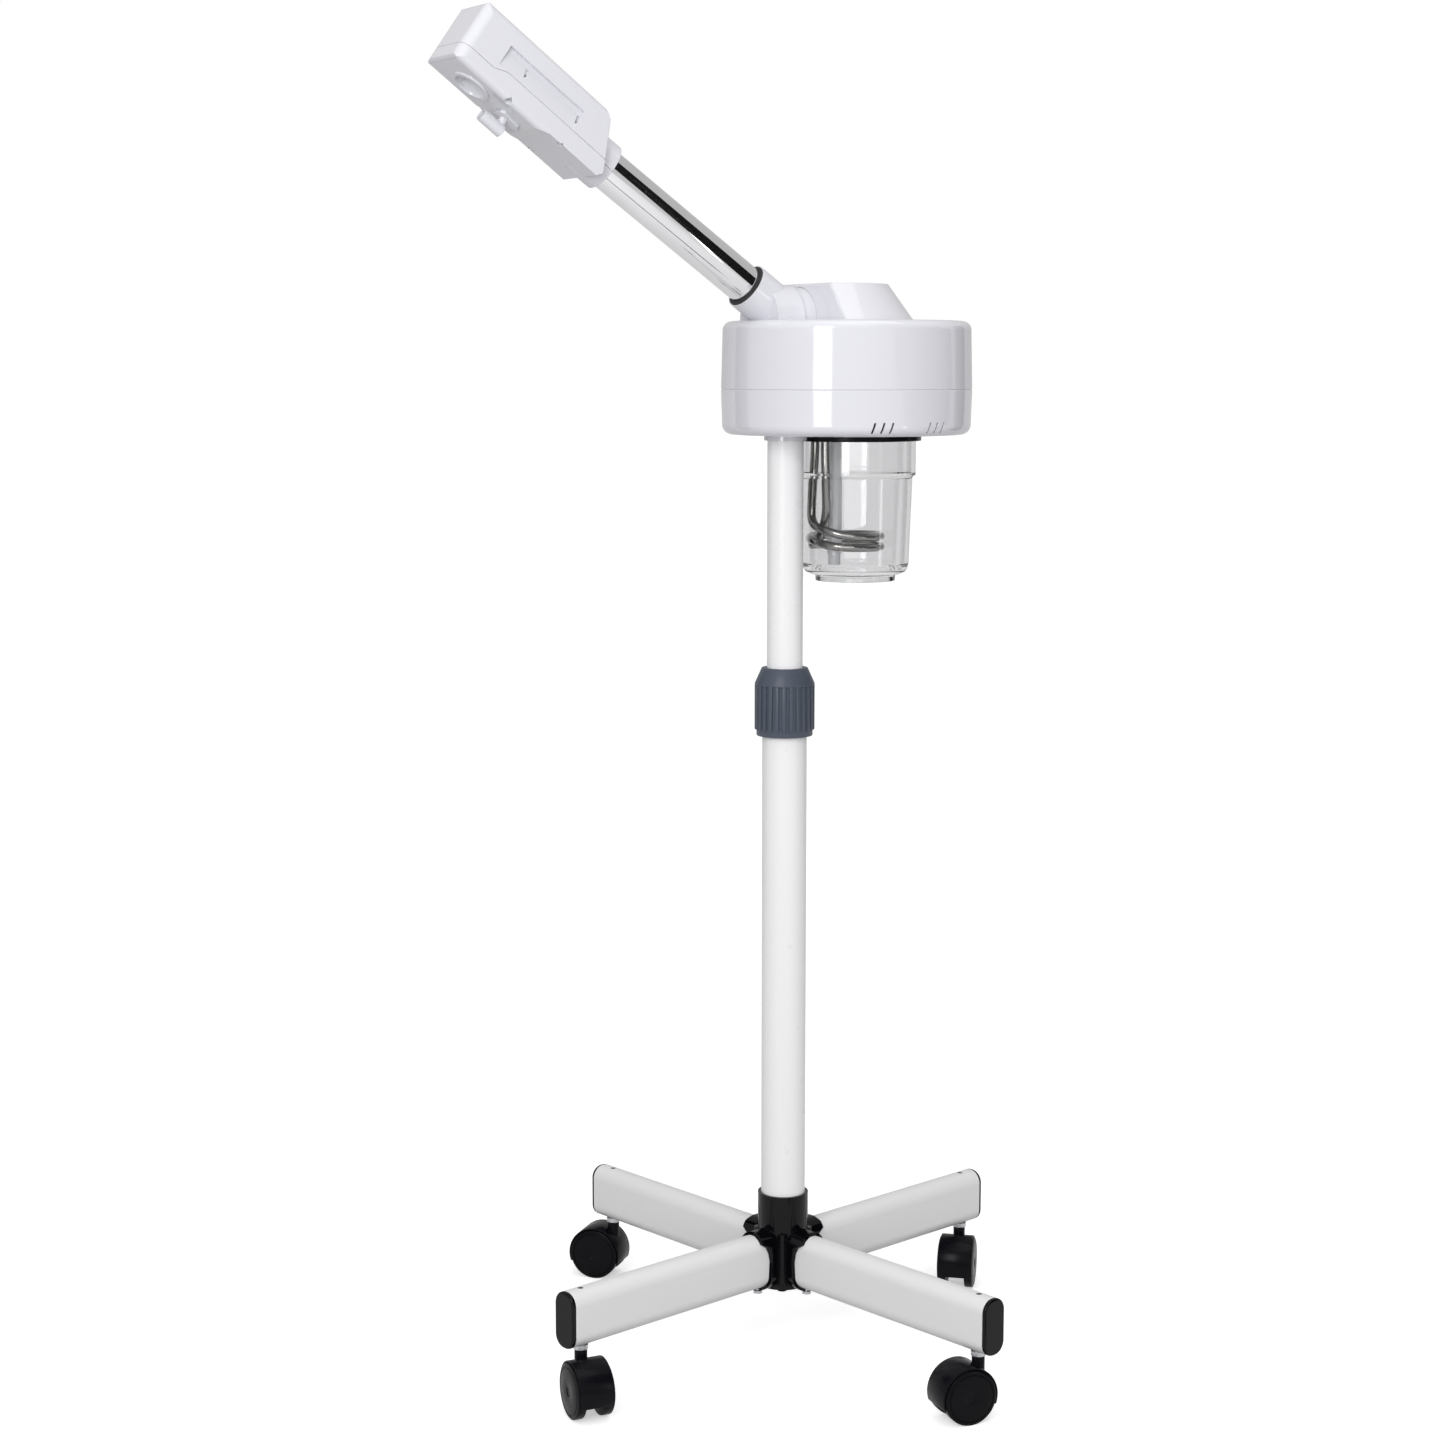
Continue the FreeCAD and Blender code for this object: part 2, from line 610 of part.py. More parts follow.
def upper_shell():
    """Upper half of the housing, with the neck block and the arm's socket."""
    outer = lathe("upper_outer", [
        ("0", "seam_height"), ("drum_radius - 0.5", "seam_height"),
        ("drum_radius", "seam_height + 0.6"), ("drum_radius - 1.5", "drum_top"), ("0", "drum_top"),
    ])
    place(soften(outer, ring_at("drum_top", "50"), "top_round"), "drum_x")
    inner = lathe("upper_inner", [
        ("0", "seam_height - 1"), ("drum_radius - shell_wall", "seam_height - 1"),
        ("drum_radius - 1.5 - shell_wall", "drum_top - shell_wall"), ("0", "drum_top - shell_wall"),
    ])
    place(soften(inner, ring_at("drum_top - shell_wall", "50"), "top_round - shell_wall"), "drum_x")
    front = rod("neck_block", "block_radius", "block_front")
    place(front, "-block_front", "0", "drum_top", "90", BACKWARD)
    barrel = rod("neck_barrel", "barrel_radius", "barrel_end")
    place(barrel, "0", "0", "drum_top", "90", BACKWARD)
    hollow = rod("neck_hollow", "barrel_radius - shell_wall", "barrel_end + block_front - 12")
    place(hollow, "-block_front + 9", "0", "drum_top", "90", BACKWARD)
    dome = cut("upper_dome", fuse("upper_mass", [outer, front, barrel]), [inner, hollow])
    socket = on_arm(rod("arm_socket", "socket_radius", "socket_end + 2"), "-2")
    extras = [socket]
    tools = [
        on_arm(rod("arm_bore", "arm_radius + running", "90"), "arm_start"),
        on_arm(rod("steam_way", "arm_radius - 4", "60"), "-30"),
        on_arm(rod("seal_seat", "socket_radius - 1", "20"), "socket_end - 2.6"),
    ]
    for angle, x, y in boss_places():
        extras.append(upright("top_boss_%d" % angle, "boss_size", "seam_height", "drum_top - 1", x, y))
        tools.append(upright("top_drill_%d" % angle, "1.7", "seam_height - 2", "seam_height + 18", x, y))
    solid = fuse("upper_solid", [dome] + extras)
    return node(cut("upper_shell", solid, tools))


def crown_solid(label, shrink, low):
    """Truncated cone of the crown, drawn in by a distance and cut flat towards the neck."""
    cone = lathe(label, [
        ("0", low), ("crown_base - (%s)" % shrink, low),
        ("crown_top_radius - (%s)" % shrink, "crown_top - (%s)" % shrink),
        ("0", "crown_top - (%s)" % shrink),
    ])
    face = "crown_cut + (%s) - crown_x" % shrink
    front = polygon(draw(cone, "XY_Plane"), [("-150", "-100"), (face, "-100"), (face, "100"), ("-150", "100")])
    sliced = cone.newObject("PartDesign::Pocket", label + "_sliced")
    sliced.Profile = front
    sliced.SideType = "Symmetric"
    bind(sliced, {"Length": "4*crown_top"})
    cone.Tip = sliced
    return cone


def top_cover():
    """Crown on the drum, cut flat round the neck."""
    full = crown_solid("crown_full", "0", "drum_top")
    face = size("crown_cut - crown_x") + 0.01
    foot = size("drum_top") + 0.5
    soften(full, lambda edge: edge.BoundBox.XMax < face and edge.BoundBox.ZMax > foot, "crown_edge")
    cavity = crown_solid("crown_cavity", "crown_wall", "drum_top - 2")
    clear_barrel = rod("crown_barrel_gap", "barrel_radius + 0.2", "barrel_end + 20")
    place(clear_barrel, "-10", "0", "drum_top", "90", BACKWARD)
    tools = [
        place(cavity, "crown_x"),
        clear_barrel,
        on_arm(rod("crown_socket_gap", "socket_radius + 0.4", "socket_end + 20"), "-2"),
    ]
    return node(cut("top_cover", place(full, "crown_x"), tools))


def pole_socket():
    """Steel socket in which the housing swivels on the pole."""
    floor = "drum_low + shell_wall"
    sleeve = lathe("socket_sleeve", [
        ("0", floor), ("pole_radius + 3", floor), ("pole_radius + 3", "pole_top + 8"), ("0", "pole_top + 8"),
    ])
    foot = box_at("socket_foot", "-34", "12", "-27", "27", floor, "drum_low + shell_wall + 3")
    bore = upright("socket_bore", "pole_radius + running", "drum_low - 5", "pole_top + 5")
    drills = []
    for i, (x, y) in enumerate(FOOT_SCREWS):
        drills.append(upright("socket_drill_%d" % i, "1.7", "drum_low - 2", "drum_low + 9", x, y))
    return node(cut("pole_socket", fuse("socket_solid", [sleeve, foot]), [bore] + drills))


def housing_screws():
    """Long screws joining the shells, and short ones on the socket's foot."""
    made = []
    for angle, x, y in boss_places():
        screw = lathe("shell_screw_%d" % angle, [
            ("0", "drum_low + 6"), ("3.5", "drum_low + 6"), ("3.5", "drum_low + 9"),
            ("1.5", "drum_low + 9"), ("1.5", "seam_height + 16"), ("0", "seam_height + 16"),
        ])
        made.append(place(screw, x, y))
    top = "drum_low + shell_wall + 3"
    for i, (x, y) in enumerate(FOOT_SCREWS):
        screw = lathe("foot_screw_%d" % i, [
            ("0", "drum_low + shell_wall"), ("1.5", "drum_low + shell_wall"), ("1.5", top),
            ("3", top), ("3", top + " + 2"), ("0", top + " + 2"),
        ])
        made.append(place(screw, x, y))
    group("housing_screws", made)


def rear_controls():
    """Two rocker switches, their bezels and the cord gland on the rear panel."""
    bezels = []
    for name, y in (("steam", "-25"), ("ozone", "25")):
        label = "bezel_" + name
        z = "drum_low + 20.5"
        flange, case, well = [
            box_at(
                "%s_%s" % (label, role), "panel_x" + start, "panel_x" + end,
                "%s - %s" % (y, wide), "%s + %s" % (y, wide), "%s - %s" % (z, tall), "%s + %s" % (z, tall),
            )
            for role, start, end, wide, tall in BEZEL_STEPS
        ]
        pin = lying(rod(label + "_pin_hole", "1.25", "11.6"), "panel_x - 1", y + " - 5.8", z)
        bezels.append(cut(label, fuse(label + "_solid", [flange, case]), [well, pin]))
        rocker(name + "_switch", y, z)
    group("switch_bezels", bezels)
    node(place(lathe("cord_gland", [
        ("3.6", "-7"), ("5.8", "-7"), ("5.8", "0"), ("9", "0"), ("9", "3"), ("6.5", "4"),
        ("5", "13"), ("3.6", "13"),
    ]), "panel_x", "0", "drum_low + 20", "90", BACKWARD))


def rocker(label, y, z):
    """One rocker key on its pivot pins."""
    key = prism(label + "_key", "XZ_Plane", [
        ("-4.5", "-4"), ("0", "-7.1"), ("4.6", "-7.2"), ("3.2", "0"), ("4.6", "7.2"), ("0", "7.1"), ("-4.5", "4"),
    ], "9.4", centred=True)
    place(key, "panel_x - 1", y, z)
    pin = lying(rod(label + "_pin", "1.2", "11.2"), "panel_x - 1", y + " - 5.6", z)
    return node(fuse(label, [key, pin]))


def electrics():
    """Transformer and control board on the lower shell's floor."""
    floor = "drum_low + shell_wall"
    core = box_at("transformer_core", "48", "92", "-92", "-64", floor, "drum_low + shell_wall + 26")
    coil = box_at("transformer_coil", "56", "84", "-95", "-60", "drum_low + shell_wall + 5", "drum_low + shell_wall + 21")
    node(fuse("transformer", [core, coil]))
    board = box_at("board_plate", "36", "104", "64", "90", "drum_low + 9", "drum_low + 10.6")
    relay = box_at("board_relay", "48", "64", "70", "84", "drum_low + 10", "drum_low + 24")
    strip = box_at("board_strip", "76", "98", "70", "80", "drum_low + 10", "drum_low + 19")
    node(fuse("control_board", [board, relay, strip]))


# ---------------------------------------------------------------- boiler and jar

def boiler_cap():
    """Lid of the boiler, with the skirt inside the jar's neck and the steam outlet."""
    base = "drum_low + shell_wall"
    disc = upright("cap_disc", "cap_radius - 0.6", base, "cap_top", "jar_x")
    skirt = tube("cap_skirt", "skirt_radius - skirt_wall", "skirt_radius", "drum_low - 6", "drum_low + 4")
    place(skirt, "jar_x")
    stub = upright("cap_stub", "9", "cap_top - 1", "cap_top + 12", "outlet_x")
    tools = [
        upright("cap_stub_bore", "7", "drum_low - 2", "cap_top + 20", "outlet_x"),
        upright("cap_tube_hole", "tube_radius + gap", "drum_low - 2", "cap_top + 5", "tube_x", "tube_y"),
        upright("cap_lead_hole", "coil_tube + gap", "drum_low - 2", "cap_top + 5", "lead_x", "-lead_y"),
        upright("cap_rise_hole", "coil_tube + gap", "drum_low - 2", "cap_top + 5", "lead_x", "lead_y"),
    ]
    return node(cut("boiler_cap", fuse("cap_solid", [disc, skirt, stub]), tools))


def jar_parts():
    """Lock ring, seal and glass jar."""
    ring = tube("lock_ring", "jar_neck + gap", "ring_radius", "ring_low", "drum_low")
    soften(ring, ring_at("ring_low", "55"), "0.8")
    node(place(ring, "jar_x"))
    node(place(tube("jar_seal", "jar_neck - glass", "jar_neck - 0.2", "jar_rim", "drum_low"), "jar_x"))
    glass = lathe("jar", [
        ("jar_neck - glass", "jar_rim"), ("jar_neck", "jar_rim"), ("jar_neck", "jar_step + 1"),
        ("jar_body", "jar_step - 1.5"), ("jar_foot_radius", "jar_low + 9"),
        ("jar_foot_radius - 1", "jar_low + 5"), ("jar_foot_radius - 3", "jar_low + 2"),
        ("jar_foot_radius - 7", "jar_low"), ("foot_ring", "jar_low"), ("foot_ring - 0.6", "jar_base"),
        ("foot_ring - 3", "jar_base"), ("foot_ring - 4", "jar_low - 2"), ("0", "jar_low - 2"),
        ("0", "jar_low + 2.5"), ("jar_foot_radius - 9", "jar_low + 2.5"),
        ("jar_foot_radius - 5", "jar_low + 5"), ("jar_foot_radius - glass", "jar_low + 10"),
        ("jar_body - glass", "jar_step - 2"), ("jar_neck - glass", "jar_step + 3"),
    ])
    return node(place(glass, "jar_x"))


def heater():
    """Tubular heating coil of two turns, with its leads up to the cap beside the pole."""
    top = size("cap_top + 7")
    shoulder = size("drum_low - 8")
    centre_x, centre_y, radius = size("coil_x"), size("coil_y"), size("coil_radius")
    lead_x, lead_y = size("lead_x"), size("lead_y")
    high = size("coil_high")
    points = [Vec(lead_x, lead_y, height) for height in (top, top - 8, shoulder + 6, shoulder)]
    points.append(Vec(lead_x - 0.3, lead_y + 3, high + 44))
    points.append(Vec(lead_x - 0.2, lead_y + 4.5, high + 28))
    points.append(Vec(lead_x - 0.7, lead_y + 3.4, high + 17))
    for angle, rise in COIL_TURNS:
        turn = math.radians(angle)
        points.append(Vec(centre_x + radius * math.cos(turn), centre_y + radius * math.sin(turn), high + rise))
    for x, y, rise in COIL_RISE:
        points.append(Vec(lead_x + x, y - lead_y, high + rise))
    points += [Vec(lead_x, -lead_y, height) for height in (shoulder, shoulder + 6, top - 8, top)]
    curve = Part.BSplineCurve()
    curve.interpolate(points)
    path = Part.Wire([curve.toShape()])
    circle = Part.Circle(points[0], points[1].sub(points[0]), size("coil_tube"))
    profile = Part.Wire([circle.toShape()])
    made = doc.addObject("Part::Feature", "heater")
    made.Shape = path.makePipeShell([profile], True, False)
    node(made)


def boiler_fittings():
    """Heater nuts, level tube and steam pipe."""
    nuts = []
    for i, y in enumerate(("-lead_y", "lead_y")):
        bore, rim, floor = "coil_tube + gap", "nut_radius", "drum_low + shell_wall"
        lower = tube("heater_nut_low_%d" % i, bore, rim, floor + " - 5", floor)
        upper = tube("heater_nut_top_%d" % i, bore, rim, "cap_top", "cap_top + 4.5")
        nuts.append(place(lower, "lead_x", y))
        nuts.append(place(upper, "lead_x", y))
    group("heater_nuts", nuts)
    node(place(lathe("level_tube", [
        ("3.6", "jar_low + 8"), ("tube_radius - 0.9", "jar_low + 8"), ("tube_radius - 0.9", "jar_low + 18"),
        ("tube_radius", "jar_low + 18"), ("tube_radius", "cap_top"), ("tube_radius + 2", "cap_top"),
        ("tube_radius + 2", "cap_top + 3"), ("3.6", "cap_top + 3"),
    ]), "tube_x", "tube_y"))
    steam_pipe()


def steam_pipe():
    """Silicone pipe from the boiler's outlet to the arm's socket."""
    x = size("outlet_x")
    low = size("cap_top + 0.6")
    tilt = math.radians(size("arm_tilt"))
    height = size("arm_height")
    aim = Vec(-math.cos(tilt), 0, math.sin(tilt))
    mouth = Vec(0, 0, height)
    points = [Vec(x, 0, low + rise) for rise in (0, 7, 14, 21, 28)]
    points += [Vec(x - 2, 0, low + 46), Vec(x - 13, 0, low + 66)]
    points += [Vec(x - 32, 0, low + 76), Vec(x - 52, 0, low + 77.5)]
    points += [mouth.sub(aim * 14), mouth, mouth.add(aim * 8)]
    curve = Part.BSplineCurve()
    curve.interpolate(points)
    path = Part.Wire([curve.toShape()])
    solids = []
    for radius in (10.8, 9.3):
        profile = Part.Wire([Part.Circle(points[0], UP, radius).toShape()])
        solids.append(path.makePipeShell([profile], True, False))
    made = doc.addObject("Part::Feature", "steam_pipe")
    made.Shape = solids[0].cut(solids[1])
    return node(made)


# ---------------------------------------------------------------- arm

def on_arm(thing, along):
    """Stand a piece made along Z on the arm's axis, a distance from the column axis."""
    x = "-(%s)*cos(arm_tilt)" % along
    z = "arm_height + (%s)*sin(arm_tilt)" % along
    return place(thing, x, "0", z, "90 - arm_tilt", FORWARD)


def arm_parts():
    """Chrome arm tube and the seal ring at the socket's mouth."""
    inner = "arm_radius - arm_wall"
    made = tube("arm_tube", inner, "arm_radius", "0", "arm_end - arm_start")
    node(on_arm(made, "arm_start"))
    ring = tube("arm_seal", "arm_radius + 0.08", "socket_radius - 1.2", "0", "3.2")
    node(on_arm(ring, "socket_end - 2.6"))


# ---------------------------------------------------------------- head

def on_head(thing, along="0", up="0", y="0", lean="90 - head_tilt", axis=FORWARD):
    """Stand a piece in the head: along its axis and up across it."""
    x = "-arm_exit*cos(arm_tilt) - (%s)*cos(head_tilt) + (%s)*sin(head_tilt)" % (along, up)
    z = "arm_height + arm_exit*sin(arm_tilt) + (%s)*sin(head_tilt) + (%s)*cos(head_tilt)" % (along, up)
    return place(thing, x, y, z, lean, axis)


def head_mass(label, wall, side):
    """Rounded head block drawn in by a wall, kept in the head's own directions."""
    low = "-head_low + (%s)" % wall
    top = "head_top - (%s)" % wall
    wide = "head_half - (%s)" % side
    front = "head_front - (%s)" % wall
    minus = "-(%s)" % wide
    section = prism(label + "_section", "XY_Plane", [(low, minus), (top, minus), (top, wide), (low, wide)], "200", "-5")
    soften(section, running_along(2, low=0), "10 - (%s)" % wall)
    soften(section, running_along(2, high=0), "5.5 - (%s)" % wall)
    profile = prism(label + "_profile", "XZ_Plane", [
        (low, front), (top, front), (top, "36 + (%s)" % wall), ("24 - (%s)" % wall, "29 + (%s)" % wall),
        ("-16", "9 + (%s)" % wall), (low + " + 3.4", "13 + (%s)" % wall), (low + " + 3.4", "66"), (low, "78"),
    ], "80", centred=True)
    soften(profile, running_along(1, low=60, across=2), "5 - (%s)" % wall)
    plan = prism(label + "_plan", "YZ_Plane", [(minus, "0"), (wide, "0"), (wide, front), (minus, front)], "90", "-40")
    soften(plan, running_along(0, low=60, across=2), "9 - (%s)" % wall)
    return overlap(label, [section, profile, plan])


def seam_side(label, shift):
    """Region below the head's stepped parting line."""
    line = "-head_seam + (%s)" % shift
    drop = "-head_seam - seam_drop + (%s)" % shift
    return prism(label, "XZ_Plane", [
        ("-60", "-40"), (line, "-40"), (line, "124"), (drop, "136"), (drop, "220"), ("-60", "220"),
    ], "120", centred=True)


def screw_spots():
    """Places of the head's screws: along its axis, and to the side."""
    for along in ("110", "52.5"):
        for side, y in (("r", "-25.4"), ("l", "25.4")):
            yield along + side, along, y


def across_head(label, radius, low, high, along, y="0"):
    """Round tool running up across the head, drawn in the head's own directions."""
    made = rod(label, radius, "(%s) - (%s)" % (high, low))
    return place(made, low, y, along, "90", BACKWARD)


def head_shells():
    """Upper and lower shells of the head."""
    bosses, pockets = [], []
    for name, along, y in screw_spots():
        bosses.append(across_head("head_boss_" + name, "5.5", "-head_low", "head_top", along, y))
        pockets.append(across_head("head_pocket_" + name, "2.9", "-head_low - 8", "-head_low + 6.4", along, y))
        pockets.append(across_head("head_drill_" + name, "1.4", "-head_low - 8", "8", along, y))
    outer = head_mass("head_outer", "0", "0")
    inner = head_mass("head_inner", "head_wall", "head_side")
    posts = overlap("head_posts", [fuse("head_post_set", bosses), head_mass("head_trim", "0.5", "0.5")])
    low_boss = box_at("head_post_limit", "-40", "4", "-40", "40", "20", "160")
    posts_low = overlap("head_posts_low", [posts, low_boss])
    hollow = cut("head_hollow", outer, [inner])
    ribs = [
        box_at("lamp_rib_a", "15.9", "head_top - 1", "-5", "5", "62", "70"),
        box_at("lamp_rib_b", "15.9", "head_top - 1", "-5", "5", "100", "108"),
    ]
    solid = fuse("head_solid", [hollow, posts_low] + ribs)
    grips = []
    for name, sign in (("r", "-"), ("l", "")):
        edge, deep, shallow = "%s(head_half + 2)" % sign, "%s(head_half - 3.4)" % sign, "%s(head_half - 0.1)" % sign
        grip = prism("head_grip_" + name, "XY_Plane", [
            ("13", edge), ("13", deep), ("9", deep), ("-head_seam", shallow), ("-head_seam", edge),
        ], "82", "52")
        grips.append(grip)
    mouth = across_head("nozzle_mouth", "nozzle_radius - 2.2", "-head_low - 5", "-head_low + 6", "nozzle_place")
    shaped = cut("head_shaped", solid, pockets + grips + [mouth])
    moved = doc.addObject("Part::Compound", "head_moved")
    moved.Links = [shaped]
    on_head(moved)
    sleeve = on_arm(rod("head_sleeve", "arm_radius + 4.2", "29"), "arm_exit")
    joined = fuse("head_joined", [moved, sleeve])
    bore = on_arm(rod("head_bore", "arm_radius + 0.2", "80"), "arm_exit - 30")
    bored = cut("head_bored", joined, [bore])
    below = on_head(seam_side("head_below", "-0.14"))
    above = on_head(seam_side("head_above", "0.14"))
    node(overlap("head_lower", [bored, below]))
    node(cut("head_upper", bored, [above]))


def head_fittings():
    """Nozzle, spout, lamp and screws of the head."""
    nozzle = lathe("steam_nozzle", [
        ("13.8", "-1.4"), ("nozzle_radius - 0.6", "-1.4"), ("nozzle_radius", "-0.8"), ("nozzle_radius", "0"),
        ("nozzle_radius - 2.5", "0"), ("nozzle_radius - 2.5", "3"), ("7", "15"), ("7", "24"), ("5", "24"),
        ("5", "14"), ("13", "2"),
    ])
    node(on_head(nozzle, "nozzle_place", "-head_low", "0", "head_tilt", BACKWARD))
    lamp = lathe("ozone_lamp", [
        ("0", "0"), ("7", "0"), ("7", "10"), ("6", "12"), ("6", "50"), ("4", "54"), ("0", "54"),
    ])
    node(on_head(lamp, "60", "8.9"))
    spout()
    screws = []
    for name, along, y in screw_spots():
        screw = lathe("head_screw_" + name, [
            ("0", "3.8"), ("2.6", "3.8"), ("2.6", "6.4"), ("1.2", "6.4"), ("1.2", "28"), ("0", "28"),
        ])
        screws.append(on_head(screw, along, "-head_low", y, "head_tilt", BACKWARD))
    group("head_screws", screws)


def spout():
    """Hollow handle spout on its stalk and plate, under the head."""
    plate = prism("spout_plate", "YZ_Plane", [
        ("-9.5", "101"), ("-6", "104"), ("6", "104"), ("9.5", "101"), ("5", "84"), ("0", "80"), ("-5", "84"),
    ], "2.6", "-head_low - 2.6")
    stalk = place(rod("spout_stalk", "3.6", "11"), "-spout_low", "0", "96", "90", BACKWARD)
    barrel = place(rod("spout_barrel", "spout_radius", "spout_end - spout_start"), "-spout_low", "0", "spout_start")
    bore = place(rod("spout_bore", "spout_radius - 1.5", "16"), "-spout_low", "0", "spout_end - 14")
    made = cut("spout", fuse("spout_solid", [plate, stalk, barrel]), [bore])
    return node(on_head(made))


# ---------------------------------------------------------------- build and save

def build():
    """Make every sub-part."""
    base_hub()
    for k in QUARTERS:
        leg(k)
    leg_caps()
    leg_screws()
    stems_and_nuts()
    for k in QUARTERS:
        caster(k)
    column()
    lower_shell()
    upper_shell()
    top_cover()
    pole_socket()
    housing_screws()
    rear_controls()
    electrics()
    boiler_cap()
    jar_parts()
    heater()
    boiler_fittings()
    arm_parts()
    head_shells()
    head_fittings()
    doc.recompute()


def check():
    """Stop if any object or shape is unsound."""
    faults = []
    for thing in doc.Objects:
        if "Invalid" in thing.State or "Error" in thing.State:
            faults.append("%s state %s" % (thing.Name, thing.State))
    for thing in NODES:
        if thing.Shape.isNull() or not thing.Shape.isValid() or not thing.Shape.Solids:
            faults.append("%s shape" % thing.Label)
    if faults:
        raise SystemExit("unsound: " + "; ".join(faults))


def save():
    """Write one STEP file for each sub-part."""
    os.makedirs("parts", exist_ok=True)
    for thing in NODES:
        thing.Shape.exportStep("parts/%s.step" % thing.Label)
        box = thing.Shape.BoundBox
        print("%-18s solids %d volume %.0f x %.1f..%.1f y %.1f..%.1f z %.1f..%.1f" % (
            thing.Label, len(thing.Shape.Solids), thing.Shape.Volume,
            box.XMin, box.XMax, box.YMin, box.YMax, box.ZMin, box.ZMax))


build()
check()
save()
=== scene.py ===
"""Looks of a facial steamer on a rolling stand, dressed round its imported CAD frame."""

import json
import logging
import math
from dataclasses import dataclass, field
from enum import Enum
from typing import Any, Optional, Sequence, Union

import bmesh
import bpy
from mathutils import Matrix, Vector


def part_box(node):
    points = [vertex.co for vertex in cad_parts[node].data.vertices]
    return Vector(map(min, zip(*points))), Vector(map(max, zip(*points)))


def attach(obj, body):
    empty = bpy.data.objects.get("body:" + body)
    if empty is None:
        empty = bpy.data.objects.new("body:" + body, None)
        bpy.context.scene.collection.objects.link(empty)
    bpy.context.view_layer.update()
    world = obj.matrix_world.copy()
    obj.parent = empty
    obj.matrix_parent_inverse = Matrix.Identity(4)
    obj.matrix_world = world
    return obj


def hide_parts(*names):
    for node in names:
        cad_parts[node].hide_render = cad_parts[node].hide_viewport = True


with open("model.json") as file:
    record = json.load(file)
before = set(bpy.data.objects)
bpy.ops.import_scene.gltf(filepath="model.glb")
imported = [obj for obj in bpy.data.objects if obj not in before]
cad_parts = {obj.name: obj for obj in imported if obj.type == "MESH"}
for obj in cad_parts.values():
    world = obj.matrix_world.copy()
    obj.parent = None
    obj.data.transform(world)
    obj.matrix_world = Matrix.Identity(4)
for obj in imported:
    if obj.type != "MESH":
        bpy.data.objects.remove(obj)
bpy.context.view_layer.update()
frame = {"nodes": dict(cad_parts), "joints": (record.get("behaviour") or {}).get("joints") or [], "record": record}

log = logging.getLogger("facial_steamer")

Colour = tuple[float, float, float]
Number = Union[float, int]

WELD = 1e-6
SMOOTH_ANGLE = math.radians(34)
ARM_TILT = math.radians(34.1)
CORNERS = (1, 2, 3, 4)


class WheelSide(Enum):
    """A caster's two wheels: the letter in the wheel's name, and which way it faces."""

    FIRST = ("a", 1.0)
    SECOND = ("b", -1.0)


class Term:
    """A node's output that takes part in sums written as Python expressions."""

    def __init__(self, graph: "Graph", socket: bpy.types.NodeSocket) -> None:
        """Wrap a socket.

        Args:
            graph: The material's node tree.
            socket: The output that is wrapped.
        """
        self.graph = graph
        self.socket = socket

    def _math(
        self, operation: str, other: Union["Term", Number], swapped: bool = False,
    ) -> "Term":
        """Add a Math node.

        Args:
            operation: The Math node's operation.
            other: The second value.
            swapped: True where the other value comes first.

        Returns:
            The node's result.
        """
        pair = (other, self) if swapped else (self, other)
        inputs = {0: pair[0], 1: pair[1]}
        return self.graph.add("ShaderNodeMath", {"operation": operation}, inputs)

    def __add__(self, other: Union["Term", Number]) -> "Term":
        """Sum."""
        return self._math("ADD", other)

    def __radd__(self, other: Number) -> "Term":
        """Sum with a number in front."""
        return self._math("ADD", other, True)

    def __sub__(self, other: Union["Term", Number]) -> "Term":
        """Difference."""
        return self._math("SUBTRACT", other)

    def __rsub__(self, other: Number) -> "Term":
        """Difference from a number."""
        return self._math("SUBTRACT", other, True)

    def __mul__(self, other: Union["Term", Number]) -> "Term":
        """Product."""
        return self._math("MULTIPLY", other)

    def __rmul__(self, other: Number) -> "Term":
        """Product with a number in front."""
        return self._math("MULTIPLY", other, True)

    def over(self, level: Number) -> "Term":
        """One where the value is above a level, and otherwise nought."""
        return self._math("GREATER_THAN", level)

    def least(self, other: Union["Term", Number]) -> "Term":
        """The smaller of two values."""
        return self._math("MINIMUM", other)


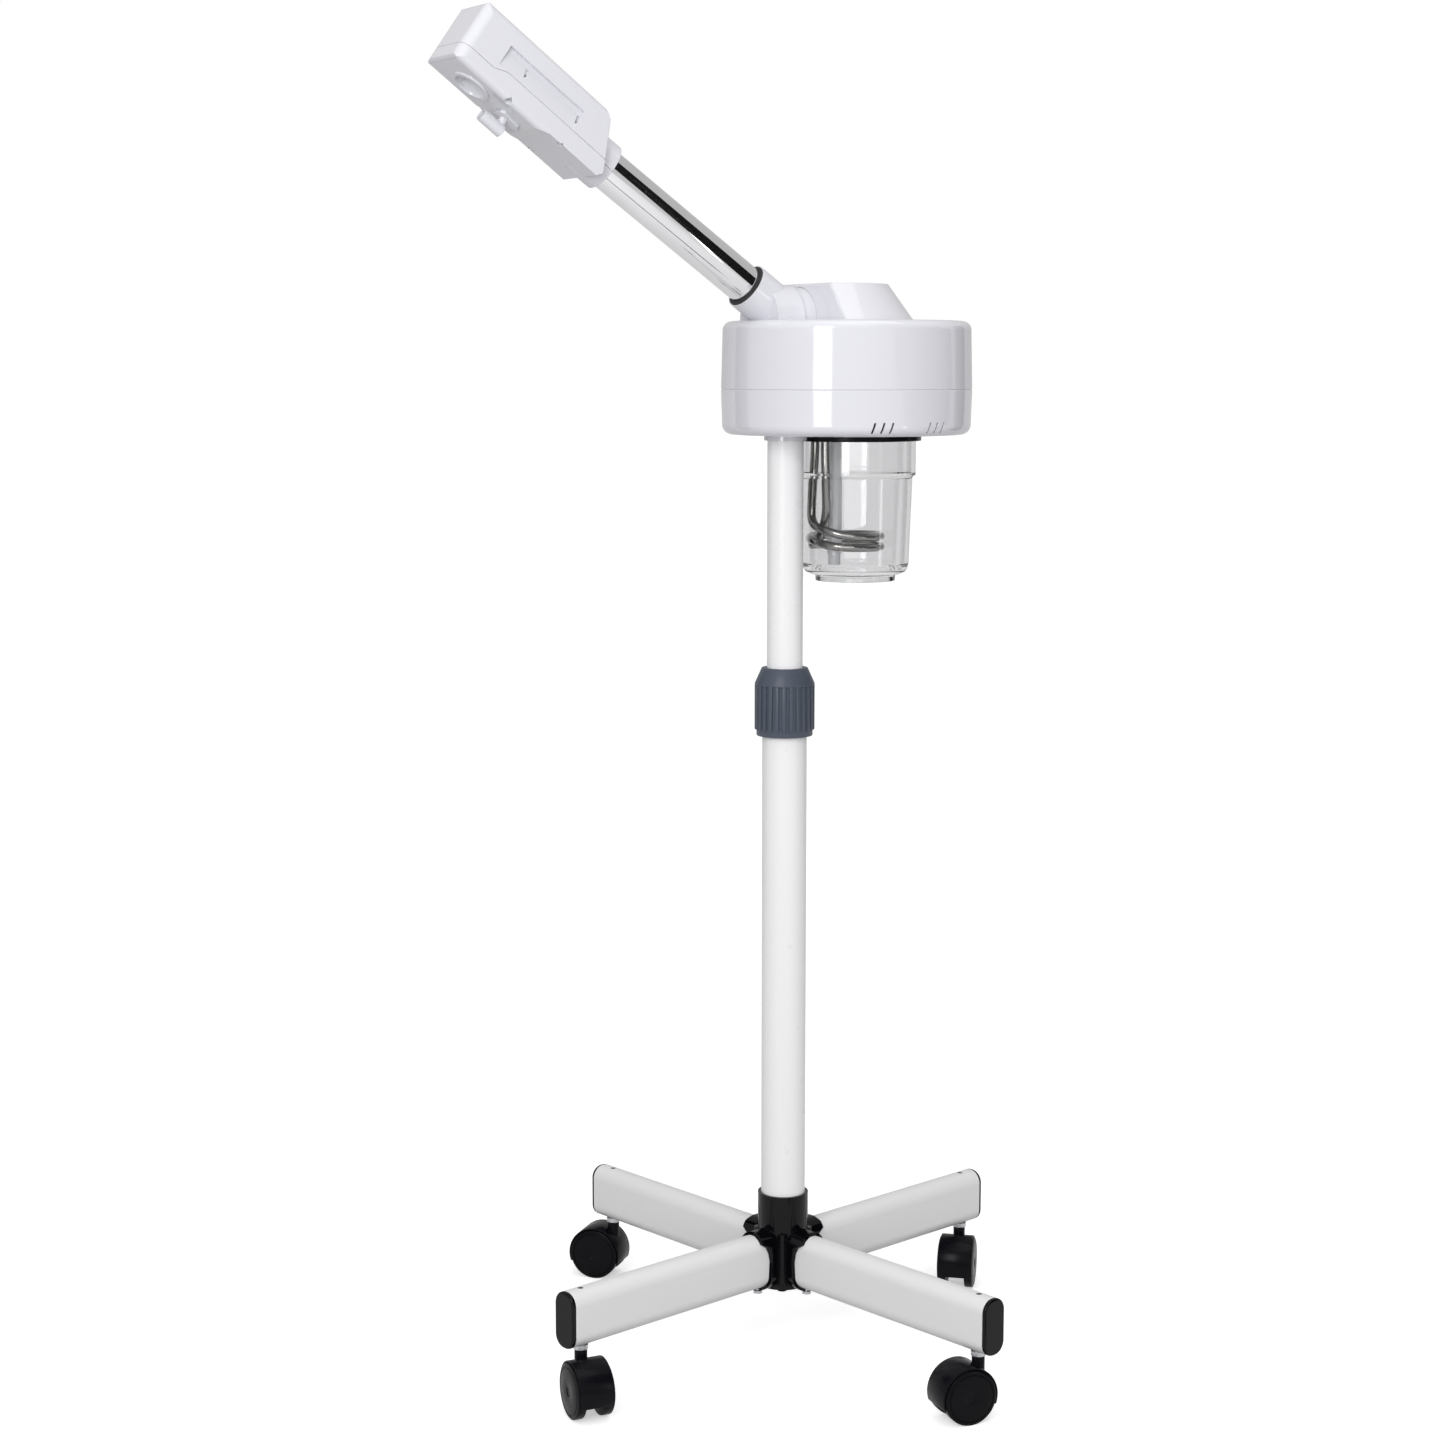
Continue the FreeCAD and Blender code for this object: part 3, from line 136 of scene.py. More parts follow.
class Graph:
    """The node tree of one material."""

    def __init__(self, name: str, edge: float = 0.0007) -> None:
        """Start an empty material.

        Args:
            name: The material's name.
            edge: Radius that moulded and painted edges are seen to have.
        """
        self.edge = edge
        self.material = bpy.data.materials.new(name)
        self.material.use_nodes = True
        self.material.node_tree.nodes.clear()

    def add(
        self,
        kind: str,
        settings: Optional[dict[str, Any]] = None,
        inputs: Optional[dict[Union[str, int], Any]] = None,
        output: Union[str, int] = 0,
    ) -> Term:
        """Add a node of any type.

        Args:
            kind: The node's type.
            settings: Its own properties, which are set first.
            inputs: Values or links by socket name or number.
            output: The output that is handed back.

        Returns:
            The wrapped output.
        """
        tree = self.material.node_tree
        made = tree.nodes.new(kind)
        for key, value in (settings or {}).items():
            setattr(made, key, value)
        for key, value in (inputs or {}).items():
            if isinstance(value, Term):
                tree.links.new(value.socket, made.inputs[key])
            else:
                made.inputs[key].default_value = value
        return Term(self, made.outputs[output] if made.outputs else None)

    def place(self) -> Term:
        """The point on the piece, in the frame's own metres."""
        return self.add("ShaderNodeTexCoord", output="Object")

    def mapped(self, scale: Sequence[float], turn: Sequence[float] = (0, 0, 0)) -> Term:
        """The point on the piece, turned and stretched.

        Args:
            scale: Stretch along each axis.
            turn: Turn about each axis in radians.

        Returns:
            The mapped point.
        """
        inputs = {"Vector": self.place(), "Rotation": tuple(turn), "Scale": tuple(scale)}
        return self.add("ShaderNodeMapping", {"vector_type": "TEXTURE"}, inputs)

    def noise(self, scale: float, detail: float = 3.0, where: Optional[Term] = None) -> Term:
        """Soft noise between nought and one.

        Args:
            scale: Grains to the metre.
            detail: Octaves of finer grain.
            where: The point it reads, or the piece's own.

        Returns:
            The noise's value.
        """
        inputs = {"Vector": where or self.place(), "Scale": scale, "Detail": detail}
        return self.add("ShaderNodeTexNoise", {"noise_dimensions": "3D"}, inputs, "Fac")

    def blend(self, share: Union[Term, Number], first: Any, second: Any) -> Term:
        """Mix two colours.

        Args:
            share: How much of the second.
            first: A colour or a link.
            second: A colour or a link.

        Returns:
            The mixed colour.
        """
        pair = [side if isinstance(side, Term) else (*side, 1.0) for side in (first, second)]
        inputs = {0: share, 6: pair[0], 7: pair[1]}
        return self.add("ShaderNodeMix", {"data_type": "RGBA"}, inputs, 2)

    def bump(self, height: Term, depth: float) -> Term:
        """Turn a height into a normal.

        Args:
            height: Height between nought and one.
            depth: What one stands for, in metres.

        Returns:
            The normal.
        """
        inputs = {"Strength": 1.0, "Distance": depth, "Height": height}
        if self.edge:
            inputs["Normal"] = self.add("ShaderNodeBevel", {"samples": 4}, {"Radius": self.edge})
        return self.add("ShaderNodeBump", {}, inputs)

    def finish(self, surface: dict[str, Any]) -> bpy.types.Material:
        """Close the tree with a Principled shader.

        Args:
            surface: The shader's sockets.

        Returns:
            The material.
        """
        shader = self.add("ShaderNodeBsdfPrincipled", {}, surface)
        self.add("ShaderNodeOutputMaterial", {}, {"Surface": shader})
        return self.material


MADE: dict[str, bpy.types.Material] = {}


@dataclass(frozen=True)
class Finish:
    """What every finish has: a name and a colour."""

    name: str
    colour: Colour

    def material(self) -> bpy.types.Material:
        """The finish's material, made once."""
        if self.name not in MADE:
            MADE[self.name] = self.make(Graph(self.name + "_finish"))
        return MADE[self.name]

    def make(self, graph: Graph) -> bpy.types.Material:
        """Build the nodes.

        Args:
            graph: An empty tree.

        Returns:
            The finished material.
        """
        raise NotImplementedError


@dataclass(frozen=True)
class Moulding(Finish):
    """Injection-moulded plastic with faint waviness and a fine handled haze."""

    roughness: float = 0.14
    haze: float = 0.06
    grain: float = 900.0
    grain_depth: float = 0.000004
    wave_depth: float = 0.00004
    coat: float = 0.0
    shade: float = 0.965
    index: float = 1.5
    shine: float = 0.5
    cloud_scale: float = 9.0
    wave_scale: float = 28.0
    haze_scale: float = 60.0
    coat_roughness: float = 0.04

    def make(self, graph: Graph) -> bpy.types.Material:
        """Build the nodes.

        Args:
            graph: An empty tree.

        Returns:
            The finished material.
        """
        cloud = graph.noise(self.cloud_scale, 2.0)
        fine = graph.noise(self.grain, 2.0)
        darker = tuple(c * self.shade for c in self.colour)
        wave = graph.noise(self.wave_scale, 1.0)
        height = wave * self.wave_depth + fine * self.grain_depth
        return graph.finish({
            "Base Color": graph.blend(cloud, self.colour, darker),
            "Roughness": self.roughness + self.haze * graph.noise(self.haze_scale, 4.0),
            "Normal": graph.bump(height, 1.0),
            "Coat Weight": self.coat,
            "Coat Roughness": self.coat_roughness,
            "IOR": self.index,
            "Specular IOR Level": self.shine,
        })


@dataclass(frozen=True)
class Paint(Finish):
    """Baked powder paint on steel, with its fine orange peel and dust near the floor."""

    roughness: float = 0.34
    peel: float = 420.0
    peel_depth: float = 0.00005
    dust: Colour = (0.42, 0.40, 0.37)
    dust_top: float = 0.10
    dust_low: float = 0.05
    dust_scale: float = 130.0
    dust_share: float = 0.10
    speck_scale: float = 1500.0
    speck_share: float = 0.10
    speck_shade: float = 0.86
    blotch_scale: float = 45.0
    blotch: float = 0.10

    def make(self, graph: Graph) -> bpy.types.Material:
        """Build the nodes.

        Args:
            graph: An empty tree.

        Returns:
            The finished material.
        """
        peel = graph.noise(self.peel, 2.0)
        speck = graph.noise(self.speck_scale, 1.0)
        height = graph.add("ShaderNodeSeparateXYZ", {}, {0: graph.place()}, 2)
        near_floor = graph.add("ShaderNodeMapRange", {}, {
            "Value": height, "From Min": self.dust_top, "From Max": self.dust_low,
            "To Min": 0.0, "To Max": 1.0,
        })
        share = near_floor * graph.noise(self.dust_scale, 5.0) * self.dust_share
        darker = tuple(c * self.speck_shade for c in self.colour)
        shade = graph.blend(speck * self.speck_share, self.colour, darker)
        return graph.finish({
            "Base Color": graph.blend(share, shade, self.dust),
            "Roughness": self.roughness + self.blotch * graph.noise(self.blotch_scale, 3.0),
            "Normal": graph.bump(peel, self.peel_depth),
            "IOR": 1.5,
        })


@dataclass(frozen=True)
class Metal(Finish):
    """Bare or plated metal with fine streaks along one direction."""

    roughness: float = 0.06
    scatter: float = 0.05
    streak: tuple[float, float, float] = (1.0, 1.0, 1.0)
    turn: tuple[float, float, float] = (0.0, 0.0, 0.0)
    tint: Optional[Colour] = None
    edge: float = 0.0004
    streak_depth: float = 0.000004
    streak_scale: float = 700.0
    stain_scale: float = 22.0
    stain_shade: float = 0.9

    def make(self, graph: Graph) -> bpy.types.Material:
        """Build the nodes.

        Args:
            graph: An empty tree.

        Returns:
            The finished material.
        """
        graph.edge = self.edge
        where = graph.mapped(self.streak, self.turn)
        lines = graph.noise(self.streak_scale, 4.0, where)
        stain = graph.noise(self.stain_scale, 3.0)
        other = self.tint or tuple(c * self.stain_shade for c in self.colour)
        surface = {
            "Base Color": graph.blend(stain, self.colour, other),
            "Metallic": 1.0,
            "Roughness": self.roughness + self.scatter * lines,
        }
        if self.streak_depth:
            surface["Normal"] = graph.bump(lines, self.streak_depth)
        return graph.finish(surface)


@dataclass(frozen=True)
class Clear(Finish):
    """Clear glass or plastic."""

    roughness: float = 0.0
    index: float = 1.5
    wave_depth: float = 0.00006
    wave_scale: float = 40.0
    haze: float = 0.02
    haze_scale: float = 150.0

    def make(self, graph: Graph) -> bpy.types.Material:
        """Build the nodes.

        Args:
            graph: An empty tree.

        Returns:
            The finished material.
        """
        return graph.finish({
            "Base Color": (*self.colour, 1.0),
            "Roughness": self.roughness + self.haze * graph.noise(self.haze_scale, 4.0),
            "Transmission Weight": 1.0,
            "IOR": self.index,
            "Normal": graph.bump(graph.noise(self.wave_scale, 1.0), self.wave_depth),
        })


@dataclass(frozen=True)
class Board(Finish):
    """Circuit board lacquer with copper tracks under it."""

    track: Colour = (0.10, 0.36, 0.14)
    track_scale: float = 90.0
    track_bend: float = 6.0
    track_gap: float = 0.8
    track_depth: float = 0.00003
    roughness: float = 0.3
    haze: float = 0.1
    haze_scale: float = 200.0

    def make(self, graph: Graph) -> bpy.types.Material:
        """Build the nodes.

        Args:
            graph: An empty tree.

        Returns:
            The finished material.
        """
        wires = graph.add("ShaderNodeTexWave", {"bands_direction": "X"}, {
            "Vector": graph.place(), "Scale": self.track_scale,
            "Distortion": self.track_bend, "Detail": 1.0,
        }, "Fac").over(self.track_gap)
        return graph.finish({
            "Base Color": graph.blend(wires, self.colour, self.track),
            "Roughness": self.roughness + self.haze * graph.noise(self.haze_scale),
            "Normal": graph.bump(wires, self.track_depth),
        })


WHITE_SHELL = Moulding("white_shell", (0.72, 0.72, 0.765), 0.07, 0.05, coat=0.35)
MAST_PAINT = Paint("mast_paint", (0.84, 0.84, 0.845), 0.24, 380.0, 0.00003, dust_top=0.2)
LEG_PAINT = Paint("leg_paint", (0.76, 0.76, 0.765), 0.30)
HUB_BLACK = Moulding(
    "hub_black", (0.002, 0.002, 0.003), 0.06, 0.04, wave_depth=0.00003, index=1.4, shine=0.3,
)
CASTER_BLACK = Moulding(
    "caster_black", (0.004, 0.004, 0.006), 0.2, 0.1, 700.0, 0.00001, 0.0001,
    index=1.3, shine=0.25,
)
WHEEL_BLACK = Moulding(
    "wheel_black", (0.003, 0.003, 0.004), 0.22, 0.1, 1100.0, 0.00001, index=1.3, shine=0.25,
)
INNER_BLACK = Moulding("inner_black", (0.008, 0.008, 0.009), 0.5, 0.1, index=1.3, shine=0.25)
COLLAR_GREY = Moulding("collar_grey", (0.062, 0.076, 0.104), 0.38, 0.10, 800.0, 0.00002)
RING_BLACK = Moulding("ring_black", (0.006, 0.006, 0.008), 0.2, 0.08, index=1.3, shine=0.25)
SEAL_RUBBER = Moulding("seal_rubber", (0.02, 0.02, 0.022), 0.6, 0.1)
KEY_RED = Moulding("key_red", (0.42, 0.015, 0.012), 0.2, 0.06, coat=0.2)
TUBE_MILK = Moulding("tube_milk", (0.74, 0.75, 0.77), 0.3, 0.08)
JAR_GLASS = Clear("jar_glass", (0.98, 0.98, 0.986), 0.0, 1.47)
LAMP_GLASS = Clear("lamp_glass", (0.93, 0.93, 0.99), 0.0, 1.46)
CHROME = Metal(
    "chrome", (0.84, 0.84, 0.85), 0.05, 0.006, (30.0, 1.0, 1.0), (0.0, ARM_TILT, 0.0),
    edge=0.0, streak_depth=0.0,
)
ZINC = Metal("zinc", (0.62, 0.62, 0.63), 0.24, 0.16, tint=(0.52, 0.53, 0.55))
HEATER_STEEL = Metal("heater_steel", (0.30, 0.295, 0.285), 0.1, 0.1, tint=(0.18, 0.175, 0.165))
CORE_STEEL = Metal("core_steel", (0.35, 0.34, 0.33), 0.4, 0.2, (1.0, 1.0, 0.05))
BOARD_GREEN = Board("board_green", (0.02, 0.16, 0.06))

FINISH_OF_SLOT: dict[str, Finish] = {
    "hub_black": HUB_BLACK,
    "leg_paint": LEG_PAINT,
    "column_white": MAST_PAINT,
    "zinc": ZINC,
    "caster_black": CASTER_BLACK,
    "wheel_black": WHEEL_BLACK,
    "inner_black": INNER_BLACK,
    "collar_grey": COLLAR_GREY,
    "housing_white": WHITE_SHELL,
    "ring_black": RING_BLACK,
    "seal_rubber": SEAL_RUBBER,
    "key_red": KEY_RED,
    "glass": JAR_GLASS,
    "heater_steel": HEATER_STEEL,
    "tube_white": TUBE_MILK,
    "transformer_steel": CORE_STEEL,
    "board_green": BOARD_GREEN,
    "chrome": CHROME,
    "lamp_glass": LAMP_GLASS,
}


def linked(name: str, data: bpy.types.ID) -> bpy.types.Object:
    """Make an object and put it in the scene.

    Args:
        name: The object's name.
        data: Its mesh, camera or light.

    Returns:
        The object.
    """
    made = bpy.data.objects.new(name, data)
    bpy.context.scene.collection.objects.link(made)
    return made


def meshed(name: str, shape: bmesh.types.BMesh) -> bpy.types.Mesh:
    """Turn a shape into a mesh.

    Args:
        name: The mesh's name.
        shape: The shape, which is freed.

    Returns:
        The mesh.
    """
    mesh = bpy.data.meshes.new(name)
    shape.to_mesh(mesh)
    shape.free()
    return mesh


@dataclass
class Studio:
    """White floor and backdrop, soft lights, dark cards and the camera."""

    eye: Vector = field(default_factory=lambda: Vector((-1.286, -1.943, 0.889)))
    turn: float = math.radians(32.0)
    dip: float = math.radians(7.596)
    lens: float = 65.6
    sensor: float = 36.0
    shift: float = 0.0014
    floor_size: float = 60.0
    room_light: float = 0.56
    through_glass: float = 0.1
    glow_near: float = 0.5
    glow_far: float = 2.6
    glow_least: float = 0.8
    glow: float = 0.52
    mirrored_floor: float = 0.5

    def across(self) -> Vector:
        """The camera's right-hand direction along the floor."""
        return Vector((math.cos(self.turn), -math.sin(self.turn), 0.0))

    def ahead(self) -> Vector:
        """The camera's forward direction along the floor."""
        return Vector((math.sin(self.turn), math.cos(self.turn), 0.0))

    def spot(self, right: float, forward: float, height: float) -> Vector:
        """A place named from where the camera stands.

        Args:
            right: Metres to the right of the stand's column.
            forward: Metres beyond the column, or in front of it where negative.
            height: Metres above the floor.

        Returns:
            The place.
        """
        return self.across() * right + self.ahead() * forward + Vector((0, 0, height))

    def build(self) -> None:
        """Stand up everything that isn't the steamer."""
        self.camera()
        self.world()
        self.floor()
        self.lights()
        log.info("studio")

    def camera(self) -> None:
        """Place the camera."""
        data = bpy.data.cameras.new("camera")
        data.lens, data.sensor_width, data.shift_x = self.lens, self.sensor, self.shift
        made = linked("camera", data)
        forward = self.ahead() * math.cos(self.dip) - Vector((0, 0, math.sin(self.dip)))
        made.location = self.eye
        made.rotation_euler = forward.to_track_quat("-Z", "Y").to_euler()
        bpy.context.scene.camera = made

    def world(self) -> None:
        """Fill the room with even white light, dimmer than the backdrop looks."""
        made = bpy.data.worlds.new("white_room")
        made.use_nodes = True
        nodes, links = made.node_tree.nodes, made.node_tree.links
        rays = nodes.new("ShaderNodeLightPath")
        strength = self.room_light
        extras = {
            "Is Camera Ray": 1.0 - self.room_light,
            "Is Transmission Ray": self.through_glass,
        }
        for ray, extra in extras.items():
            term = nodes.new("ShaderNodeMath")
            term.operation = "MULTIPLY_ADD"
            links.new(rays.outputs[ray], term.inputs[0])
            term.inputs[1].default_value = extra
            if isinstance(strength, float):
                term.inputs[2].default_value = strength
            else:
                links.new(strength, term.inputs[2])
            strength = term.outputs[0]
        room = nodes["Background"]
        room.inputs["Color"].default_value = (1.0, 1.0, 1.0, 1.0)
        links.new(strength, room.inputs["Strength"])
        bpy.context.scene.world = made
        bpy.context.scene.view_settings.view_transform = "Standard"

    def floor(self) -> None:
        """Lay a pale floor that fades into the backdrop."""
        shape = bmesh.new()
        bmesh.ops.create_circle(shape, cap_ends=True, segments=96, radius=self.floor_size)
        made = linked("floor", meshed("floor", shape))
        graph = Graph("floor_paper")
        point = {0: graph.place()}
        far = graph.add("ShaderNodeVectorMath", {"operation": "LENGTH"}, point, "Value")
        glow = graph.add("ShaderNodeMapRange", {"interpolation_type": "SMOOTHSTEP"}, {
            "Value": far, "From Min": self.glow_near, "From Max": self.glow_far,
            "To Min": self.glow_least, "To Max": 1.0,
        })
        paper = graph.noise(300.0, 2.0)
        seen = graph.add("ShaderNodeBsdfPrincipled", {}, {
            "Base Color": graph.blend(paper, (0.97, 0.97, 0.97), (0.955, 0.955, 0.955)),
            "Roughness": 0.9,
            "Specular IOR Level": 0.0,
            "Emission Color": graph.blend(glow, (0.0, 0.0, 0.0), (1.0, 1.0, 1.0)),
            "Emission Strength": self.glow,
        })
        bounce = graph.add("ShaderNodeBsdfPrincipled", {}, {
            "Base Color": (0.42, 0.42, 0.43, 1.0), "Roughness": 0.9,
        })
        looked_at = graph.add("ShaderNodeLightPath", output="Is Camera Ray")
        mirrored = graph.add("ShaderNodeLightPath", output="Is Glossy Ray")
        looked_at = (looked_at + mirrored * self.mirrored_floor).least(1.0)
        sheet = graph.add("ShaderNodeMixShader", {}, {0: looked_at, 1: bounce, 2: seen})
        graph.add("ShaderNodeOutputMaterial", {}, {"Surface": sheet})
        made.data.materials.append(graph.material)

    def lights(self) -> None:
        """Hang the softboxes and the dark cards that bright and clear pieces mirror."""
        middle = Vector((0.0, 0.0, 0.85))
        base = Vector((0.0, 0.0, 0.6))
        boxes = (
            ("strip_left", (-0.71, -1.70, 1.3), middle, (0.56, 1.3), 13.0, True),
            ("front_soft", (0.25, -3.4, 1.5), middle, (2.6, 2.2), 40.0, False),
            ("top_soft", (0.2, -0.3, 2.7), base, (1.6, 1.6), 9.0, True),
            ("strip_right", (1.5, -1.1, 1.0), middle, (0.14, 1.6), 2.2, True),
        )
        for name, place, aim, sides, power, mirrored in boxes:
            self.softbox(name, self.spot(*place), aim, sides, power, mirrored)
        tube = Vector((-0.15, 0.0, 1.03))
        along = Vector((-math.cos(ARM_TILT), 0.0, math.sin(ARM_TILT)))
        right, low = Vector((0.581, -0.793, 0.177)) * 1.5, Vector((-0.129, -0.473, -0.871)) * 1.1
        self.card("card_right", tube + right, tube, (2.4, 1.25), along)
        self.card("card_low", tube + low, tube, (2.0, 0.06), along)
        for name, place in (
            ("card_back_left", (-1.25, 0.55, 0.8)), ("card_back_right", (1.25, 0.75, 0.8)),
        ):
            self.card(name, self.spot(*place), middle, (0.5, 1.2), self.across())

    def card(
        self, name: str, place: Vector, aim: Vector, sides: tuple[float, float], along: Vector,
    ) -> None:
        """Stand up a black card that only mirrors and glass see.

        Args:
            name: The card's name.
            place: Where its middle stands.
            aim: The point it faces.
            sides: Length and width.
            along: The direction that its length follows.
        """
        shape = bmesh.new()
        bmesh.ops.create_grid(shape, x_segments=1, y_segments=1, size=0.5)
        facing = (aim - place).normalized()
        length = (along - facing * along.dot(facing)).normalized()
        turn = Matrix((length, facing.cross(length), facing)).transposed().to_4x4()
        resize = Matrix.Diagonal((*sides, 1.0, 1.0))
        where = Matrix.Translation(place) @ turn @ resize
        bmesh.ops.transform(shape, matrix=where, verts=shape.verts)
        made = linked(name, meshed(name, shape))
        black = {"Base Color": (0.0, 0.0, 0.0, 1.0), "Roughness": 1.0}
        made.data.materials.append(Graph(name + "_cloth").finish(black))
        made.visible_camera = made.visible_diffuse = made.visible_shadow = False

    def softbox(
        self, name: str, place: Vector, aim: Vector, sides: tuple[float, float], power: float,
        mirrored: bool,
    ) -> None:
        """Hang one rectangular light.

        Args:
            name: The light's name.
            place: Where its middle hangs.
            aim: The point it faces.
            sides: Width and height.
            power: Watts.
            mirrored: True where glossy finishes show it.
        """
        data = bpy.data.lights.new(name, "AREA")
        data.shape = "RECTANGLE"
        data.size, data.size_y = sides
        data.energy = power
        made = linked(name, data)
        made.visible_glossy = mirrored
        made.location = place
        made.rotation_euler = (aim - place).to_track_quat("-Z", "Y").to_euler()


def joint_named(name: str) -> dict[str, Any]:
    """The frame's joint of that name."""
    return next(joint for joint in frame["joints"] if joint["name"] == name)


def finished(
    name: str, shape: bmesh.types.BMesh, body: str, finish: Finish,
) -> bpy.types.Object:
    """Turn a shape into a piece that rides on a body.

    Args:
        name: The piece's name.
        shape: Its shape, which is freed.
        body: The body it moves with.
        finish: What it is made of.

    Returns:
        The piece.
    """
    mesh = meshed(name, shape)
    mesh.shade_smooth()
    mesh.set_sharp_from_angle(angle=SMOOTH_ANGLE)
    made = linked(name, mesh)
    mesh.materials.append(finish.material())
    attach(made, body)
    log.info("piece %s", name)
    return made


def turned(
    outline: Sequence[tuple[float, float]], closed: bool = False, steps: int = 72,
) -> bmesh.types.BMesh:
    """Spin an outline about the upright axis.

    Args:
        outline: Points of radius and height.
        closed: True where the last point joins the first.
        steps: Facets round the axis.

    Returns:
        The shape.
    """
    shape = bmesh.new()
    points = [shape.verts.new((radius, 0.0, height)) for radius, height in outline]
    for first, second in zip(points, points[1:]):
        shape.edges.new((first, second))
    if closed:
        shape.edges.new((points[-1], points[0]))
    bmesh.ops.spin(
        shape, geom=shape.verts[:] + shape.edges[:], cent=(0, 0, 0), axis=(0, 0, 1), dvec=(0, 0, 0),
        angle=math.tau, steps=steps, use_merge=True, use_duplicate=False,
    )
    bmesh.ops.remove_doubles(shape, verts=shape.verts, dist=WELD)
    bmesh.ops.dissolve_degenerate(shape, edges=shape.edges, dist=WELD)
    bmesh.ops.recalc_face_normals(shape, faces=shape.faces)
    return shape


def rounded(shape: bmesh.types.BMesh, radius: float, sharp: float = 0.6, segments: int = 3) -> None:
    """Round every sharp edge of a shape.

    Args:
        shape: The shape.
        radius: How far the rounding reaches.
        sharp: Least angle between faces that counts, in radians.
        segments: Facets in the rounding.
    """
    whole = [edge for edge in shape.edges if edge.is_manifold]
    edges = [edge for edge in whole if edge.calc_face_angle() > sharp]
    bmesh.ops.bevel(
        shape, geom=edges, offset=radius, offset_type="OFFSET", segments=segments, profile=0.5,
        affect="EDGES", material=-1, clamp_overlap=True,
    )


def standing(along: Vector, place: Vector) -> Matrix:
    """Where a shape goes that was made about the upright axis.

    Args:
        along: The direction its axis takes.
        place: Where its middle goes.

    Returns:
        The transform.
    """
    return Matrix.Translation(place) @ along.to_track_quat("Z", "Y").to_matrix().to_4x4()


@dataclass
class Caster:
    """Twin-wheel caster: two wheels on an axle under a hood that swivels with its stem."""

    number: int
    wheel_radius: float = 0.024
    wheel_inner: float = 0.0091
    wheel_outer: float = 0.0173
    hood_radius: float = 0.026
    hood_wall: float = 0.0014
    hood_half: float = 0.0154
    web_half: float = 0.0086
    hood_low: float = 0.0154
    neck_radius: float = 0.0056
    hood_edge: float = 0.0006
    neck_edge: float = 0.0008
    wheel_edge: float = 0.0004
    tread_side: float = 0.0009
    tread_drop: float = 0.0028
    groove_out: float = 0.0030
    groove_in: float = 0.0037
    face_edge: float = 0.0039
    groove_depth: float = 0.0007
    cap_radius: float = 0.0045
    cap_rise: float = 0.0001
    dimple_radius: float = 0.0040
    dimple_depth: float = 0.0005
    middle: Vector = field(init=False)
    along: Vector = field(init=False)
    stem: Vector = field(init=False)

    def build(self) -> None:
        """Make the hood and both wheels."""
        wheel = joint_named("wheel_turn_%da" % self.number)
        swivel = joint_named("caster_swivel_%d" % self.number)
        self.middle = Vector(wheel["pos_m"])
        self.along = Vector(wheel["axis"])
        self.stem = Vector(swivel["pos_m"])
        self.hood()
        for side in WheelSide:
            self.wheel(side)

    def hood(self) -> None:
        """Make the hood, its web and its neck."""
        inner = self.hood_radius - self.hood_wall
        shape = turned([
            (0.0, -self.web_half), (inner, -self.web_half), (inner, -self.hood_half),
            (self.hood_radius, -self.hood_half), (self.hood_radius, self.hood_half),
            (inner, self.hood_half), (inner, self.web_half), (0.0, self.web_half),
        ])
        shape.transform(standing(self.along, self.middle))
        low = Vector((0.0, 0.0, self.hood_low))
        cut = bmesh.ops.bisect_plane(
            shape, geom=shape.verts[:] + shape.edges[:] + shape.faces[:], dist=WELD,
            plane_co=low, plane_no=(0, 0, 1), clear_inner=True,
        )
        rim = [item for item in cut["geom_cut"] if isinstance(item, bmesh.types.BMEdge)]
        bmesh.ops.contextual_create(shape, geom=rim)
        bmesh.ops.recalc_face_normals(shape, faces=shape.faces)
        rounded(shape, self.hood_edge, segments=2)
        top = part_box("caster_hood_%d" % self.number)[1][2]
        neck = turned([
            (0.0, self.wheel_radius), (self.neck_radius, self.wheel_radius),
            (self.neck_radius, top), (0.0, top),
        ], steps=40)
        rounded(neck, self.neck_edge)
        neck.transform(Matrix.Translation((self.stem.x, self.stem.y, 0.0)))
        spare = meshed("neck", neck)
        shape.from_mesh(spare)
        bpy.data.meshes.remove(spare)
        name = "hood_%d" % self.number
        made = finished(name, shape, "caster_%d" % self.number, CASTER_BLACK)
        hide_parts("caster_hood_%d" % self.number)

    def wheel(self, side: WheelSide) -> None:
        """Make one wheel with its rounded tread, rim groove and hub cap.

        Args:
            side: Which of the two.
        """
        letter, way = side.value
        radius, low, high = self.wheel_radius, self.wheel_inner, self.wheel_outer
        groove, dimple = high - self.groove_depth, high - self.dimple_depth
        shape = turned([
            (0.0, low), (radius, low), (radius, high - self.tread_side),
            (radius - self.tread_drop, high), (radius - self.groove_out, groove),
            (radius - self.groove_in, groove), (radius - self.face_edge, high),
            (self.cap_radius, high + self.cap_rise), (self.dimple_radius, dimple), (0.0, dimple),
        ])
        rounded(shape, self.wheel_edge, sharp=0.5, segments=2)
        shape.transform(standing(self.along * way, self.middle))
        node = "%d%s" % (self.number, letter)
        made = finished("wheel_" + node, shape, "wheel_" + node, WHEEL_BLACK)
        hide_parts("caster_wheel_" + node)


